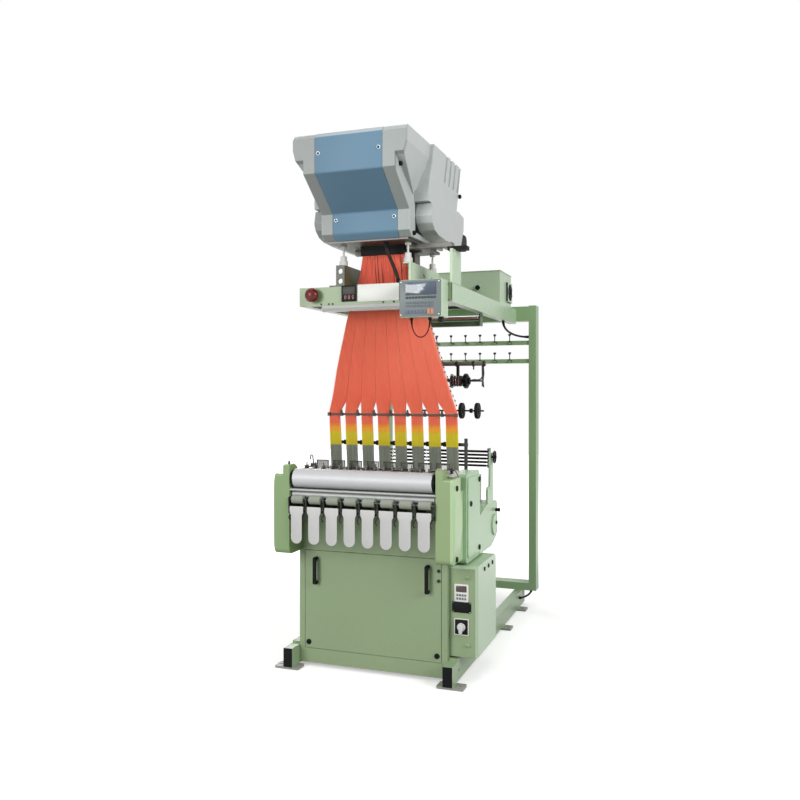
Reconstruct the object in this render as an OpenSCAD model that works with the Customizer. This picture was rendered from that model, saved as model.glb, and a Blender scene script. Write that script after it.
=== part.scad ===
// Elastic tape weaving loom: eight tapes side by side, a jacquard head on an overhead frame,
// and a rear stand with yarn guides. Millimetres, +Z up, +Y to the back, front of the loom at -Y.
// Lengths along Y are counted from the front ends of the base rails.

/* [Tapes] */
// Number of tapes woven side by side
tapes = 8; // [8:1:8]
// Distance from one tape to the next
tape_pitch = 100; // [94:1:104]
// Width of one group of harness cords
group_w = 66; // [50:1:74]

/* [Base frame] */
// Clear width between the two base rails
rail_gap = 840; // [800:2:880]
// Width of a base rail
rail_w = 50; // [40:1:60]
// Height of a base rail
rail_h = 100; // [90:1:110]
// Length of a base rail
rail_len = 1800; // [1700:10:1900]
// Wall thickness of the square tubes
tube_wall = 4; // [3:0.5:6]
// Length of a foot plate across the loom
foot_w = 140; // [130:2:150]
// Depth of a foot plate
foot_d = 80; // [60:2:100]
// Thickness of a foot plate
foot_t = 12; // [8:1:16]
// Hole in a foot plate for its anchor bolt
anchor_hole_d = 14; // [10:0.5:16]

/* [Rear stand] */
// Width over the two rear posts
stand_w = 1138; // [1110:2:1180]
// Width of a rear post seen from the front
post_w = 50; // [40:1:60]
// Depth of a rear post
post_d = 100; // [80:2:120]
// Height of the top of the rear posts
post_top = 2075; // [2050:5:2110]
// Height of the yarn guide rails over the floor, the lower one first
guide_rail_z = [1678, 1805];
// Spacing of the yarn guides along their rails
guide_pitch = 106; // [90:1:110]

/* [Overhead arms] */
// Width over the two overhead arms
arm_span = 860; // [850:2:876]
// Height of an overhead arm
arm_h = 100; // [80:2:110]
// Height of the top of the arms over the floor
arm_top = 2050; // [2040:2:2060]
// Front end of the arms
arm_y = 140; // [130:2:160]

/* [Body] */
// Front face of the body panels
body_y = 90; // [80:1:100]
// Back of the body
body_back_y = 780; // [700:5:850]
// Top of the loom's deck over the floor
deck_top = 1000; // [980:2:1010]
// Width of the front door
door_w = 770; // [700:2:790]
// Height of the lower edge of the front door
door_z = 100; // [90:2:140]
// Height of the upper edge of the front door
door_top = 628; // [600:2:632]
// Thickness of the folded sheet
sheet = 3; // [2:0.5:4]
// Length of a door handle over its ends
handle_l = 146; // [120:2:170]
// Width of a door handle's grip
handle_w = 20; // [14:1:24]

/* [Rollers] */
// Diameter of the take-up roller
roller_d = 100; // [90:1:104]
// Length of the take-up roller's grey sleeve
roller_l = 766; // [740:2:770]
// Diameter of the roller's journals
journal_d = 30; // [24:1:36]
// Diameter of the drive bar under the take-up roller
drive_d = 40; // [34:1:42]
// Diameter of a rubber press roller
press_d = 44; // [36:1:44]
// Width of a rubber press roller
press_w = 62; // [50:1:76]
// Gap between the press rollers and the drive bar, where the tape runs
nip_gap = 0.8; // [0.6:0.1:2]
// Diameter of the shafts that carry the press rollers and the press levers
small_shaft_d = 12; // [10:1:14]
// Running clearance of a shaft in its bore, on the radius
fit = 0.06; // [0.02:0.01:0.1]
// Width of a press lever's tongue
lever_w = 62; // [50:1:70]
// Height of the lower end of a press lever over the floor
lever_low = 694; // [660:2:740]

/* [Jacquard head] */
// Width of the blue front panel
panel_w = 360; // [320:2:380]
// Width over the rims of the front shell
rim_w = 490; // [470:2:500]
// Width over the shoulders of the front shell
shoulder_w = 606; // [590:2:620]
// Width over the side covers
head_w = 666; // [650:2:690]
// Top of the head over the floor
head_top = 2780; // [2770:2:2800]
// Number of air slots in each side cover
slots = 4; // [2:1:4]
// Width of the harness neck under the head
neck_w = 236; // [220:2:240]

/* [Electrics] */
// Width of the electrical cabinet
cabinet_w = 145; // [140:1:145]
// Depth of the electrical cabinet
cabinet_d = 405; // [390:5:480]
// Top of the electrical cabinet over the floor
cabinet_top = 594; // [560:2:596]
// Diameter of the stop button's mushroom head
stop_d = 78; // [60:1:84]
// Push of the stop button
stop_travel = 6; // [4:0.5:8]
// Width of the operator terminal
terminal_w = 226; // [200:2:230]
// Height of the operator terminal
terminal_h = 190; // [160:2:196]

/* [Hidden] */

fine = 48;      // facets of a round part in the preview
head_y = -216;  // front of the head's rims
panel_lift = 2; // the blue panel stands proud of the rims by this much
datum_y = (rail_len + head_y - panel_lift) / 2; // middle of the loom's overall depth

// --- shared helpers -----------------------------------------------------------------------

// Points of an arc round [x, y], from angle a to angle b.
function arc(x, y, r, a, b, n = 6) =
  [for (i = [0:n]) let (t = a + (b - a) * i / n) [x + r * cos(t), y + r * sin(t)]];

// Outline of a rectangle with round corners.
function round_rect(x0, y0, x1, y1, r, n = 5) = concat(
  arc(x1 - r, y1 - r, r, 0, 90, n), arc(x0 + r, y1 - r, r, 90, 180, n),
  arc(x0 + r, y0 + r, r, 180, 270, n), arc(x1 - r, y0 + r, r, 270, 360, n));

// Place of tape i, counted from the left.
function tape_x(i) = (i - (tapes - 1) / 2) * tape_pitch;

// Moves the loom's own lengths so that the origin is under the middle of it.
module loom() { translate([0, -datum_y, 0]) children(); }

// A flat outline drawn as [y, z], extruded across the loom.
module across(x0, x1) { translate([x0, 0, 0]) rotate([90, 0, 90]) linear_extrude(x1 - x0) children(); }

// A flat outline drawn as [x, z], extruded along the loom.
module along(y0, y1) { translate([0, y1, 0]) rotate([90, 0, 0]) linear_extrude(y1 - y0) children(); }

// A flat outline drawn as [x, y], extruded upwards.
module up(z0, z1) { translate([0, 0, z0]) linear_extrude(z1 - z0) children(); }

// A block between two corners.
module block(a, b) { translate(a) cube(b - a); }

// Round bars across, along and upwards.
module bar_x(x0, x1, y, z, d) {
  translate([x0, y, z]) rotate([0, 90, 0]) cylinder(h = x1 - x0, d = d, $fn = fine);
}
module bar_y(y0, y1, x, z, d) {
  translate([x, y1, z]) rotate([90, 0, 0]) cylinder(h = y1 - y0, d = d, $fn = fine);
}
module bar_z(z0, z1, x, y, d) {
  translate([x, y, z0]) cylinder(h = z1 - z0, d = d, $fn = fine);
}

// Both sides of the loom: the children are drawn for the right.
module both_sides() {
  children();
  mirror([1, 0, 0]) children();
}

// Outline of a square tube between two corners.
module tube_outline(a, b) {
  wall = [tube_wall, tube_wall];
  difference() {
    translate(a) square(b - a);
    translate(a + wall) square(b - a - 2 * wall);
  }
}

// Square tubes with open ends, along, across and upwards.
module tube_y(x0, z0, x1, z1, y0, y1) { along(y0, y1) tube_outline([x0, z0], [x1, z1]); }
module tube_x(y0, z0, y1, z1, x0, x1) { across(x0, x1) tube_outline([y0, z0], [y1, z1]); }
module tube_z(x0, y0, x1, y1, z0, z1) { up(z0, z1) tube_outline([x0, y0], [x1, y1]); }

// A round cable swept along its route, with flat ends square to its first and last stretch.
function unit(v) = v / norm(v);
function heading(p, i) = unit(p[min(i + 1, len(p) - 1)] - p[max(i - 1, 0)]);
function side_of(v) = unit(cross(v, abs(v.z) < 0.9 ? [0, 0, 1] : [0, 1, 0]));
// Side direction of each ring, carried along the route without a twist.
function sides(p, i = 0, last = undef) = i == len(p) ? [] :
  let (t = heading(p, i), s = is_undef(last) ? side_of(t) : unit(last - (last * t) * t))
  concat([s], sides(p, i + 1, s));
module cable(p, d, n = 8) {
  side = sides(p);
  pts = [for (i = [0:len(p) - 1]) let (s = side[i], q = cross(s, heading(p, i)))
    for (k = [0:n - 1]) p[i] + d / 2 * (cos(360 * k / n) * s + sin(360 * k / n) * q)];
  skin = [for (i = [0:len(p) - 2]) for (k = [0:n - 1])
    [i * n + k, i * n + (k + 1) % n, (i + 1) * n + (k + 1) % n, (i + 1) * n + k]];
  first = [for (k = [n - 1:-1:0]) k];
  last = [for (k = [0:n - 1]) (len(p) - 1) * n + k];
  polyhedron(pts, concat([first], skin, [last]), 4);
}

// Points of a smooth curve through four handles.
function bezier(a, b, c, d, n = 10) = [for (i = [0:n]) let (t = i / n, u = 1 - t)
  u * u * u * a + 3 * u * u * t * b + 3 * u * t * t * c + t * t * t * d];

// --- base frame ---------------------------------------------------------------------------

rail_x = rail_gap / 2;
rail_z = foot_t;
rail_top = rail_z + rail_h;
foot_y = [foot_d / 2, 1135, rail_len - 195];
foot_x = rail_x + rail_w / 2 + 10;
anchor_x = rail_x + rail_w + 30;
side_hole_y = 124; // hole for the levelling bar in each rail's outer wall
side_hole_d = 16;

// Two rails, each welded on three foot plates with anchor holes.
module base_rails() {
  color([0.56, 0.66, 0.49]) loom() both_sides() {
    difference() {
      tube_y(rail_x, rail_z, rail_x + rail_w, rail_top, 0, rail_len);
      bar_x(rail_x + rail_w - 2 * tube_wall, rail_x + rail_w + 1,
        side_hole_y, rail_z + rail_h / 2, side_hole_d);
    }
    for (y = foot_y) difference() {
      up(0, foot_t)
        polygon(round_rect(foot_x - foot_w / 2, y - foot_d / 2, foot_x + foot_w / 2, y + foot_d / 2, 8));
      bar_z(-1, foot_t + 1, anchor_x, y, anchor_hole_d);
    }
  }
}

cap_t = 3;    // face of a plastic end cap
plug_l = 15;  // part of the cap inside the tube

// Plastic cap that plugs the front end of a rail.
module end_cap() {
  inset = tube_wall + 0.1;
  block([rail_x, -cap_t, rail_z], [rail_x + rail_w, 0, rail_top]);
  block([rail_x + inset, 0, rail_z + inset], [rail_x + rail_w - inset, plug_l, rail_top - inset]);
}

module rail_caps() {
  color([0.1, 0.1, 0.1]) loom() both_sides() end_cap();
}

// --- rear stand ---------------------------------------------------------------------------

post_x = stand_w / 2 - post_w;
post_y = rail_len - post_d;
lower_beam_h = 50;
top_beam_z = arm_top - arm_h + 20;
guide_rail_h = 30;
guide_rail_d = 30;
guide_rail_y = post_y + 10;

// Welded stand: two posts, the beams at their feet and heads, and the two yarn guide rails.
module rear_stand() {
  color([0.50, 0.63, 0.43]) loom() {
    tube_x(post_y, rail_top, rail_len, rail_top + lower_beam_h, -post_x, post_x);
    tube_x(post_y, top_beam_z, rail_len, post_top - 5, -post_x, post_x);
    for (z = guide_rail_z)
      tube_x(guide_rail_y, z, guide_rail_y + guide_rail_d, z + guide_rail_h, -post_x, post_x);
    both_sides() {
      tube_z(post_x, post_y, post_x + post_w, rail_len, rail_top, post_top - sheet);
      block([post_x, post_y, post_top - sheet], [post_x + post_w, rail_len, post_top]);
    }
  }
}

guide_y = post_y + 4;   // yarn guides stand on clamps on the front of the rails
guide_shift = 14;       // the row of guides sits this far to the right
guide_h = 44;
guide_stem_d = 8;

// A trumpet-shaped yarn guide on its clamp block.
module yarn_guide(x, z) {
  translate([x, guide_y, z + guide_rail_h - 12]) rotate_extrude($fn = 24)
    polygon([[0, 0], [5, 0], [5, 4], [guide_stem_d / 2, 6], [guide_stem_d / 2 - 1, guide_h],
      [11, guide_h + 9], [11, guide_h + 12], [7, guide_h + 14], [0, guide_h + 14]]);
  block([x - 9, post_y - 3, z + 6], [x + 12, post_y + 10, z + guide_rail_h - 12]);
  block([x + 12, post_y - 1, z + 6], [x + 20, post_y + 10, z + guide_rail_h - 4]);
}

module yarn_guides() {
  color([0.12, 0.12, 0.12]) loom() for (z = guide_rail_z) for (i = [0:tapes - 1])
    yarn_guide((i - (tapes - 1) / 2) * guide_pitch + guide_shift, z);
}

// --- overhead arms ------------------------------------------------------------------------

arm_w = 50;
arm_x = arm_span / 2;
arm_z = arm_top - arm_h;
hanger_y = 900;
hanger_h = 28;
upright_y0 = 146;
upright_y1 = 304;
upright_top = 2227;
upright_t = 15;
warp_roller_d = 30;
warp_roller_z = arm_z - 20;

// Two arms, the right one welded to the upright that steadies the head.
module overhead_arms() {
  color([0.73, 0.83, 0.69]) loom() {
    both_sides() tube_y(arm_x - arm_w, arm_z, arm_x, arm_top, arm_y, post_y);
    block([arm_x - upright_t, upright_y0, arm_top - 1], [arm_x, upright_y1, upright_top]);
  }
}

// A cross beam under the arms, with the cheeks that carry the warp roller.
module roller_hanger() {
  cheek_x = arm_x - arm_w;
  color([0.36, 0.47, 0.33]) loom() {
    tube_x(hanger_y - 16, arm_z - 70, hanger_y + 30, arm_z - 70 + hanger_h, -cheek_x, cheek_x);
    both_sides() difference() {
      block([cheek_x, hanger_y - 30, arm_z - 70], [cheek_x + 10, hanger_y + 30, arm_z]);
      bar_x(cheek_x - 1, cheek_x + 11, hanger_y, warp_roller_z, small_shaft_d + 2 * fit);
    }
  }
}

module warp_roller() {
  cheek_x = arm_x - arm_w;
  color([0.75, 0.76, 0.78]) loom() union() {
    bar_x(-cheek_x + 2, cheek_x - 2, hanger_y, warp_roller_z, warp_roller_d);
    bar_x(-cheek_x - 9, cheek_x + 9, hanger_y, warp_roller_z, small_shaft_d);
  }
}

beam_y = arm_y - 30;  // front face of the front beam

module front_beam() {
  color([0.60, 0.69, 0.52]) loom() {
    difference() {
      tube_x(beam_y, arm_z, arm_y, arm_top, -arm_x, arm_x);
      bar_y(beam_y - 1, beam_y + tube_wall + 1, stop_x, stop_z, stop_stem_d + 2 * fit);
    }
    // display with its frame and the bare sign plate beside it
    color([0.07, 0.07, 0.08]) block([-178, beam_y - 6, arm_top - 82], [-90, beam_y, arm_top + 4]);
    color([0.93, 0.93, 0.90]) block([-86, beam_y - 3, arm_top - 86], [150, beam_y, arm_top + 6]);
  }
}

lamp_y = beam_y + 1;
lamp_d = 47;

module work_lamp() {
  color([0.80, 0.82, 0.81]) loom() across(-arm_x + 130, arm_x - 130)
    polygon([[lamp_y, arm_z], [lamp_y, arm_z - 14], [lamp_y + 7, arm_z - 30],
      [lamp_y + lamp_d - 8, arm_z - 30], [lamp_y + lamp_d, arm_z - 14], [lamp_y + lamp_d, arm_z]]);
}

// --- carrying the head --------------------------------------------------------------------

feet_t = 20;
base_z = upright_top + feet_t;   // underside of the bars under the head
bar_h = 23;
base_top = base_z + bar_h;
neck_x = 18;                     // the neck stands this far to the right
neck_y = 250;
neck_d = 74;
mouth_w = neck_w + 16;   // mouth of the head's base round the harness collar
mouth_d = neck_d + 16;
pad_y0 = 200;
pad_y1 = 254;

// Rubber pad on the upright, under the head's steadying bar.
module head_feet() {
  color([0.06, 0.06, 0.06]) loom()
    block([arm_x - 45, pad_y0, upright_top], [arm_x + 60, pad_y1, base_z]);
}

bracket_x = 213;    // outer face of each bracket
bracket_in = 163;   // inner face of the left bracket's web
bracket_t = 12;
bracket_y = beam_y + 1;
bracket_end = 640;
bracket_top = 2165;
flange_t = 8;

// Side plate of a bracket with its two holes.
module bracket_web(x0) {
  difference() {
    across(x0, x0 + bracket_t)
      polygon([[bracket_y, arm_top], [bracket_end, arm_top], [bracket_end, bracket_top - 40],
        [bracket_end - 40, bracket_top], [bracket_y, bracket_top]]);
    for (y = [330, 470]) bar_x(x0 - 1, x0 + bracket_t + 1, y, arm_top + 55, 40);
  }
}

module head_brackets() {
  color([0.66, 0.77, 0.60]) loom() {
    // right bracket: the web outside, the head flange inwards and the foot flange outwards
    bracket_web(bracket_x - bracket_t);
    block([bracket_x - 45, 120, bracket_top - flange_t], [bracket_x - bracket_t, 600, bracket_top]);
    block([bracket_x, bracket_y, arm_top], [bracket_x + 40, bracket_end, arm_top + flange_t]);
    // left bracket: the web inside, all flanges outwards, the front one with two holes
    bracket_web(-bracket_in - bracket_t);
    block([-bracket_x, 120, bracket_top - flange_t], [-bracket_in - bracket_t, 600, bracket_top]);
    block([-bracket_x - 40, bracket_y, arm_top],
      [-bracket_in - bracket_t, bracket_end, arm_top + flange_t]);
    difference() {
      block([-bracket_x, bracket_y, arm_top], [-bracket_in, bracket_y + flange_t, bracket_top]);
      for (z = [arm_top + 30, bracket_top - 32])
        bar_y(bracket_y - 1, bracket_y + flange_t + 1, -(bracket_x + bracket_in) / 2, z, 28);
    }
    // rear cross bar between the arms under the brackets' tail
    tube_x(570, arm_top - 60, 630, arm_top, -(arm_x - arm_w), arm_x - arm_w);
  }
}

adjuster_x = 185;
adjuster_foot = [23.5, 27];    // radius and height of the moulded foot
adjuster_body = [17.5, 25];    // radius and height of the nut housing on it
adjuster_stem = 5.8;           // radius of the screw
adjuster_cap = 12;             // height of the tapered head under the base

// Levelling screws between the brackets and the head's base.
module head_adjusters() {
  h = base_top - bracket_top;
  z1 = adjuster_foot.y;
  z2 = z1 + adjuster_body.y;
  color([0.90, 0.91, 0.88]) loom() both_sides() for (y = [150, 570])
    translate([adjuster_x, y, bracket_top]) rotate_extrude($fn = 32)
      polygon([[0, 0], [adjuster_foot.x - 2, 0], [adjuster_foot.x, 2], [adjuster_foot.x, z1 - 2],
        [adjuster_foot.x - 2, z1], [adjuster_body.x, z1], [adjuster_body.x, z2], [adjuster_stem, z2],
        [adjuster_stem, h - adjuster_cap], [adjuster_body.x - 4, h - adjuster_cap],
        [adjuster_body.x, h - 3], [adjuster_body.x, h], [0, h]]);
}

box_x = rim_w / 2 - 32;   // half width of the mechanism box
box_y0 = 66;
box_y1 = 560;
box_t = 4;
plate_x = rim_w / 2 - 22; // half width of the bottom plate
plate_t = 14;

module head_base() {
  color([0.30, 0.31, 0.32]) loom() {
    // steadying bar to the rubber pad, and the cross bar behind the neck with its hanger
    block([neck_x + mouth_w / 2 + 12, pad_y0, base_z], [arm_x - 22, pad_y1, base_top]);
    block([-plate_x + 30, 330, base_z], [plate_x - 30, 360, base_top]);
    block([128, 331, base_z - 62], [160, 420, base_z]);
    // bottom plate and the mechanism box on it, with the mouth for the harness
    difference() {
      union() {
        block([-plate_x, 40, base_top], [plate_x, 590, base_top + plate_t]);
        block([-box_x, box_y0, base_top + plate_t], [box_x, box_y1, head_top - shell_t]);
      }
      block([-box_x + box_t, box_y0 + box_t, base_top + plate_t + box_t],
        [box_x - box_t, box_y1 - box_t, head_top - shell_t - box_t]);
      block([neck_x - mouth_w / 2, neck_y - mouth_d / 2, base_top - 1],
        [neck_x + mouth_w / 2, neck_y + mouth_d / 2, base_top + 60]);
    }
  }
}

// --- jacquard head ------------------------------------------------------------------------

// Front of the rims: the chamfer under the roof, upper face, slope and lower face, then back
// along the underside.
chamfer = [26, 27];
nose = [[head_y + chamfer.x, head_top], [head_y, head_top - chamfer.y], [head_y, head_top - 202],
  [0, head_top - 365], [0, base_top + 40], [36, base_top + 10]];
shell_t = 5;
rim_t = 20;

// Normal of stretch i of the nose, pointing into the head.
function inward(i) = let (j = min(max(i, 0), len(nose) - 2), d = unit(nose[j + 1] - nose[j])) [-d.y, d.x];
// The nose line moved back by t, square to every stretch; it still starts at the roof.
function nose_line(t) = [for (i = [0:len(nose) - 1]) let (a = inward(i - 1), b = inward(i))
  i == 0 ? nose[0] + [t / b.x, 0] : nose[i] + t * (a + b) / (1 + a * b)];
function reverse_line(l) = [for (i = [len(l) - 1:-1:0]) l[i]];
// A skin over the nose between two depths.
function nose_skin(t0, t1) = concat(nose_line(t0), reverse_line(nose_line(t1)));

shoulder_low = [45, head_top - 280];   // lowest point of a shoulder's outline
shoulder_lean = 14.6;                  // its outer face leans in by this angle below the roof edge
shoulder_edge = head_top - 80;

// Front of a side cover from the roof down to its waist.
cover_front = [[166, head_top], [134, head_top - 108], [92, head_top - 196], [70, head_top - 273],
  [74, base_top + 195]];
cover_gap = 0.5;

// Roof, fascia, rims and shoulders of the head's front.
module front_shell() {
  half = rim_w / 2;
  wing = shoulder_w / 2;
  color([0.74, 0.76, 0.75]) loom() {
    // the roof between the side covers
    block([-half, nose_line(shell_t)[0].x + 0.3, head_top - shell_t], [half, 640, head_top]);
    // fascia: a skin behind the blue panel, and one flush with the rims on each side of it
    across(-panel_w / 2 - 1, panel_w / 2 + 1) polygon(nose_skin(shell_t, 2 * shell_t));
    both_sides() across(panel_w / 2 + 1, half - rim_t) polygon(nose_skin(0, 2 * shell_t));
    // rims: the side walls of the nose, carried back along the underside
    both_sides() across(half - rim_t, half) polygon(concat(nose,
      [[580, base_top + 20], [580, base_top + 40], [90, base_top + 40], [90, head_top]]));
    // shoulders: wedges that point down on each side
    both_sides() intersection() {
      across(half, wing) polygon(concat(
        [nose[0], nose[1], [head_y, head_top - 131], shoulder_low, [77.5, head_top - 244]],
        [for (i = [2, 1, 0]) cover_front[i] - [cover_gap, 0]]));
      drop = shoulder_edge - shoulder_low.y + 1;
      along(head_y - 1, cover_front[0].x + 1) polygon([[half - 1, head_top + 1], [wing, head_top + 1],
        [wing, shoulder_edge], [wing - drop * tan(shoulder_lean), shoulder_edge - drop],
        [half - 1, shoulder_edge - drop]]);
    }
  }
}

// Blue panel over the nose, with the corner holes for its four quarter-turn fasteners.
module front_panel() {
  color([0.47, 0.58, 0.68]) loom() difference() {
    across(-panel_w / 2, panel_w / 2) polygon(nose_skin(-panel_lift, shell_t));
    for (x = [-1, 1]) {
      bar_y(head_y - 10, head_y + 10, x * (panel_w / 2 - 18), head_top - 105, 8);
      bar_y(-10, 10, x * (panel_w / 2 - 18), base_top + 112, 8);
    }
  }
}

cover_t = 14;          // wall of a side cover
cover_step = 11;       // the hip stands out over the upper part by this much
cover_waist = [592, base_top + 240];
cover_hip = [[108, base_top + 191], [91, base_top + 123], [108, base_top + 88], [151, base_top + 57],
  [212, base_top + 42], [330, base_top + 36], [640, base_top + 36], [702, base_top + 157],
  [705, base_top + 228], cover_waist];
slot_w = 30;
slot_y = 394;
slot_pitch = 83.5;
slot_lean = 55;   // a slot's lower end is this far in front of its upper end
slot_l = 158;     // length of a slot down the cover
slot_depth = 9;

module side_cover() {
  half = rim_w / 2;
  hip = head_w / 2;
  outer = hip - cover_step;
  difference() {
    union() {
      across(half + 0.4, outer) polygon(concat(cover_front,
        [[cover_waist.x, base_top + 195], cover_waist, [680, head_top]]));
      across(half + 0.4, hip) polygon(cover_hip);
    }
    // hollow inside, open towards the mechanism
    across(half, outer - cover_t)
      polygon([[175, head_top - shell_t], [175, base_top + 75], [610, base_top + 75],
        [610, base_top + 210], [572, base_top + 230], [660, head_top - shell_t]]);
    // slanted air slots that cut the cover's upper edge
    for (i = [0:slots - 1]) translate([0, slot_y + i * slot_pitch, 0])
      across(outer - slot_depth, outer + 1)
        polygon([[0, head_top + 1], [-slot_lean, head_top - slot_l],
          [slot_w - slot_lean, head_top - slot_l - 4], [slot_w, head_top + 1]]);
  }
}

module side_cover_left() { color([0.76, 0.78, 0.78]) loom() mirror([1, 0, 0]) side_cover(); }
module side_cover_right() { color([0.76, 0.78, 0.78]) loom() side_cover(); }

// Cable inlet at the back of the head.
module head_plug() {
  color([0.08, 0.08, 0.08]) loom() across(250, head_w / 2 - 2)
    polygon(concat([[641.3, base_top + 38], [688.5, base_top + 130]],
      arc(750, base_top + 100, 30, 90, 0), arc(750, base_top + 68, 30, 0, -90)));
}

// --- harness ------------------------------------------------------------------------------

collar_z = 2228;
comber_y = 397;
comber_z = 1350;
comber_h = 12;
group_y = 425;
group_d = 16;
group_z = 1050;
// Rows of the fan from the comber bar up: height, middle and half width.
fan_rows = [[comber_z + comber_h, 0, tape_pitch * 3.83], [1450, 0, tape_pitch * 3.56],
  [1650, 0, tape_pitch * 3.02], [1937, 10, tape_pitch * 2.18], [2094, 16, 150],
  [collar_z - 3, neck_x, neck_w / 2]];

// Black guide collar under the head, where the cords come together.
module harness_collar() {
  color([0.05, 0.05, 0.05]) loom() translate([neck_x, neck_y, 0]) difference() {
    block([-mouth_w / 2, -mouth_d / 2, collar_z - 3], [mouth_w / 2, mouth_d / 2, base_top + 30]);
    block([-neck_w / 2 + 2, -neck_d / 2 + 2, collar_z + 20],
      [neck_w / 2 - 2, neck_d / 2 - 2, base_top + 31]);
  }
}

// The cords between the comber bar and the collar, as one closed tapering body.
module harness_fan() {
  z_low = fan_rows[0].x;
  n = len(fan_rows);
  z_high = fan_rows[n - 1].x;
  rows = [for (r = fan_rows) let (z = r.x, s = (z - z_low) / (z_high - z_low),
    y = comber_y + (neck_y - comber_y) * s, d = group_d / 2 + (neck_d - group_d) / 2 * s,
    x0 = r.y - r.z, x1 = r.y + r.z)
    [[x0, y - d, z], [x1, y - d, z], [x1, y + d, z], [x0, y + d, z]]];
  pts = [for (r = rows) each r];
  walls = [for (i = [0:n - 2]) for (k = [0:3]) let (j = (k + 1) % 4)
    [4 * i + k, 4 * i + j, 4 * i + 4 + j, 4 * i + 4 + k]];
  color([0.88, 0.45, 0.33]) loom()
    polyhedron(pts, concat([[3, 2, 1, 0]], walls, [[for (k = [0:3]) 4 * (n - 1) + k]]), 4);
}

column_x = [60, -30];
column_y = 650;

// The comber bar with the stays that hold it from the feeder stand.
comber_x = 381;    // half length of the comber bar
column_d = 25;     // side of the square feeder column

module comber_bar() {
  color([0.10, 0.09, 0.09]) loom() {
    block([-comber_x, comber_y - 9, comber_z], [comber_x, comber_y + 9, comber_z + comber_h]);
    for (i = [0:tapes]) let (x = min(max(tape_x(i) - tape_pitch / 2, -comber_x), comber_x))
      block([x - 8, comber_y - 16, comber_z - 4], [x + 8, comber_y - 9, comber_z + 16]);
    for (x = column_x)
      block([x - 5, comber_y + 9, comber_z + 2], [x + 5, column_y - column_d / 2, comber_z + 10]);
  }
}

// Heald and spring groups, one under each part of the comber bar.
module harness_groups() {
  color([0.85, 0.75, 0.15]) loom() for (i = [0:tapes - 1])
    across(tape_x(i) - group_w / 2, tape_x(i) + group_w / 2)
      polygon([[group_y - group_d / 2, group_z], [group_y + group_d / 2, group_z],
        [comber_y + group_d / 2, comber_z - 4.3], [comber_y - group_d / 2, comber_z - 4.3]]);
}

guard_x = 430;
guard_y = group_y + group_d / 2 + 6;
guard_t = 8;
guard_z = 1184;

// Flat guard bar behind the groups, with its upright at the right and its stay at the left.
module group_guard() {
  color([0.08, 0.08, 0.08]) loom() {
    block([-guard_x + 40, guard_y, guard_z], [guard_x, guard_y + guard_t, guard_z + 18]);
    block([guard_x - 16, guard_y - 14, deck_top], [guard_x, guard_y, guard_z + 44]);
    bar_y(guard_y - 20, guard_y - 14, guard_x - 8, guard_z + 34, 12);
    block([-guard_x + 40, guard_y, deck_top], [-guard_x + 52, guard_y + guard_t, guard_z]);
  }
}

module spring_box() {
  color([0.16, 0.16, 0.17]) loom() {
    block([-400, group_y - 24, deck_top], [400, group_y + 13, group_z - 14]);
    for (i = [0:tapes - 1]) block([tape_x(i) - group_w / 2 - 4, group_y - 14, group_z - 14],
      [tape_x(i) + group_w / 2 + 4, group_y + 12, group_z]);
  }
}

// --- weaving zone -------------------------------------------------------------------------

breast_y = 70;
breast_top = 1084;
reed_y = 235;
reed_pivot = [reed_y, deck_top + 22];
reed_shaft_d = 20;

// The breast bar with a tape guide for each tape, and the bearings of the reed sley.
module breast_bar() {
  color([0.20, 0.20, 0.21]) loom() {
    block([-400, breast_y, deck_top], [400, breast_y + 36, breast_top - 12]);
    for (i = [0:tapes - 1]) for (s = [-1, 1]) {
      block([tape_x(i) + s * 26 - 5, breast_y + 2, breast_top - 12],
        [tape_x(i) + s * 26 + 5, breast_y + 34, breast_top + 6]);
      bar_z(breast_top + 6, breast_top + 22, tape_x(i) + s * 26, breast_y + 20, 5);
    }
    for (i = [0:tapes - 1]) bar_x(tape_x(i) - 26, tape_x(i) + 26, breast_y + 10, breast_top - 2, 8);
    both_sides() difference() {
      across(388, 400) polygon(concat([[reed_y - 28, deck_top], [reed_y + 28, deck_top]],
        arc(reed_pivot.x, reed_pivot.y, 18, 0, 180, 10)));
      bar_x(387, 401, reed_pivot.x, reed_pivot.y, reed_shaft_d + 2 * fit);
    }
  }
}

reed_h = 84;

// The rocking sley: one reed for each tape on a common shaft.
module reed_sley() {
  color([0.45, 0.45, 0.46]) loom() {
    bar_x(-401, 401, reed_pivot.x, reed_pivot.y, reed_shaft_d);
    for (i = [0:tapes - 1]) {
      difference() {
        block([tape_x(i) - 36, reed_y - 5, reed_pivot.y + 6],
          [tape_x(i) + 36, reed_y + 5, reed_pivot.y + reed_h]);
        block([tape_x(i) - 31, reed_y - 6, reed_pivot.y + 26],
          [tape_x(i) + 31, reed_y + 6, reed_pivot.y + reed_h - 7]);
      }
      for (k = [-7:7]) block([tape_x(i) + k * 4 - 0.5, reed_y - 3, reed_pivot.y + 24],
        [tape_x(i) + k * 4 + 0.5, reed_y + 3, reed_pivot.y + reed_h - 5]);
    }
  }
}

// --- body ---------------------------------------------------------------------------------

frame_t = 12;
frame_x = rail_gap / 2;
frame_y = body_y + 15;
panel_z = 20;
deck_t = 15;
door_gap = 2.5;

module side_frames() {
  color([0.53, 0.62, 0.47]) loom() both_sides() {
    block([frame_x - frame_t, frame_y, rail_top], [frame_x, body_back_y, deck_top - deck_t]);
    block([frame_x, frame_y, rail_top], [frame_x + rail_w, body_back_y, rail_top + 10]);
  }
}

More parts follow.
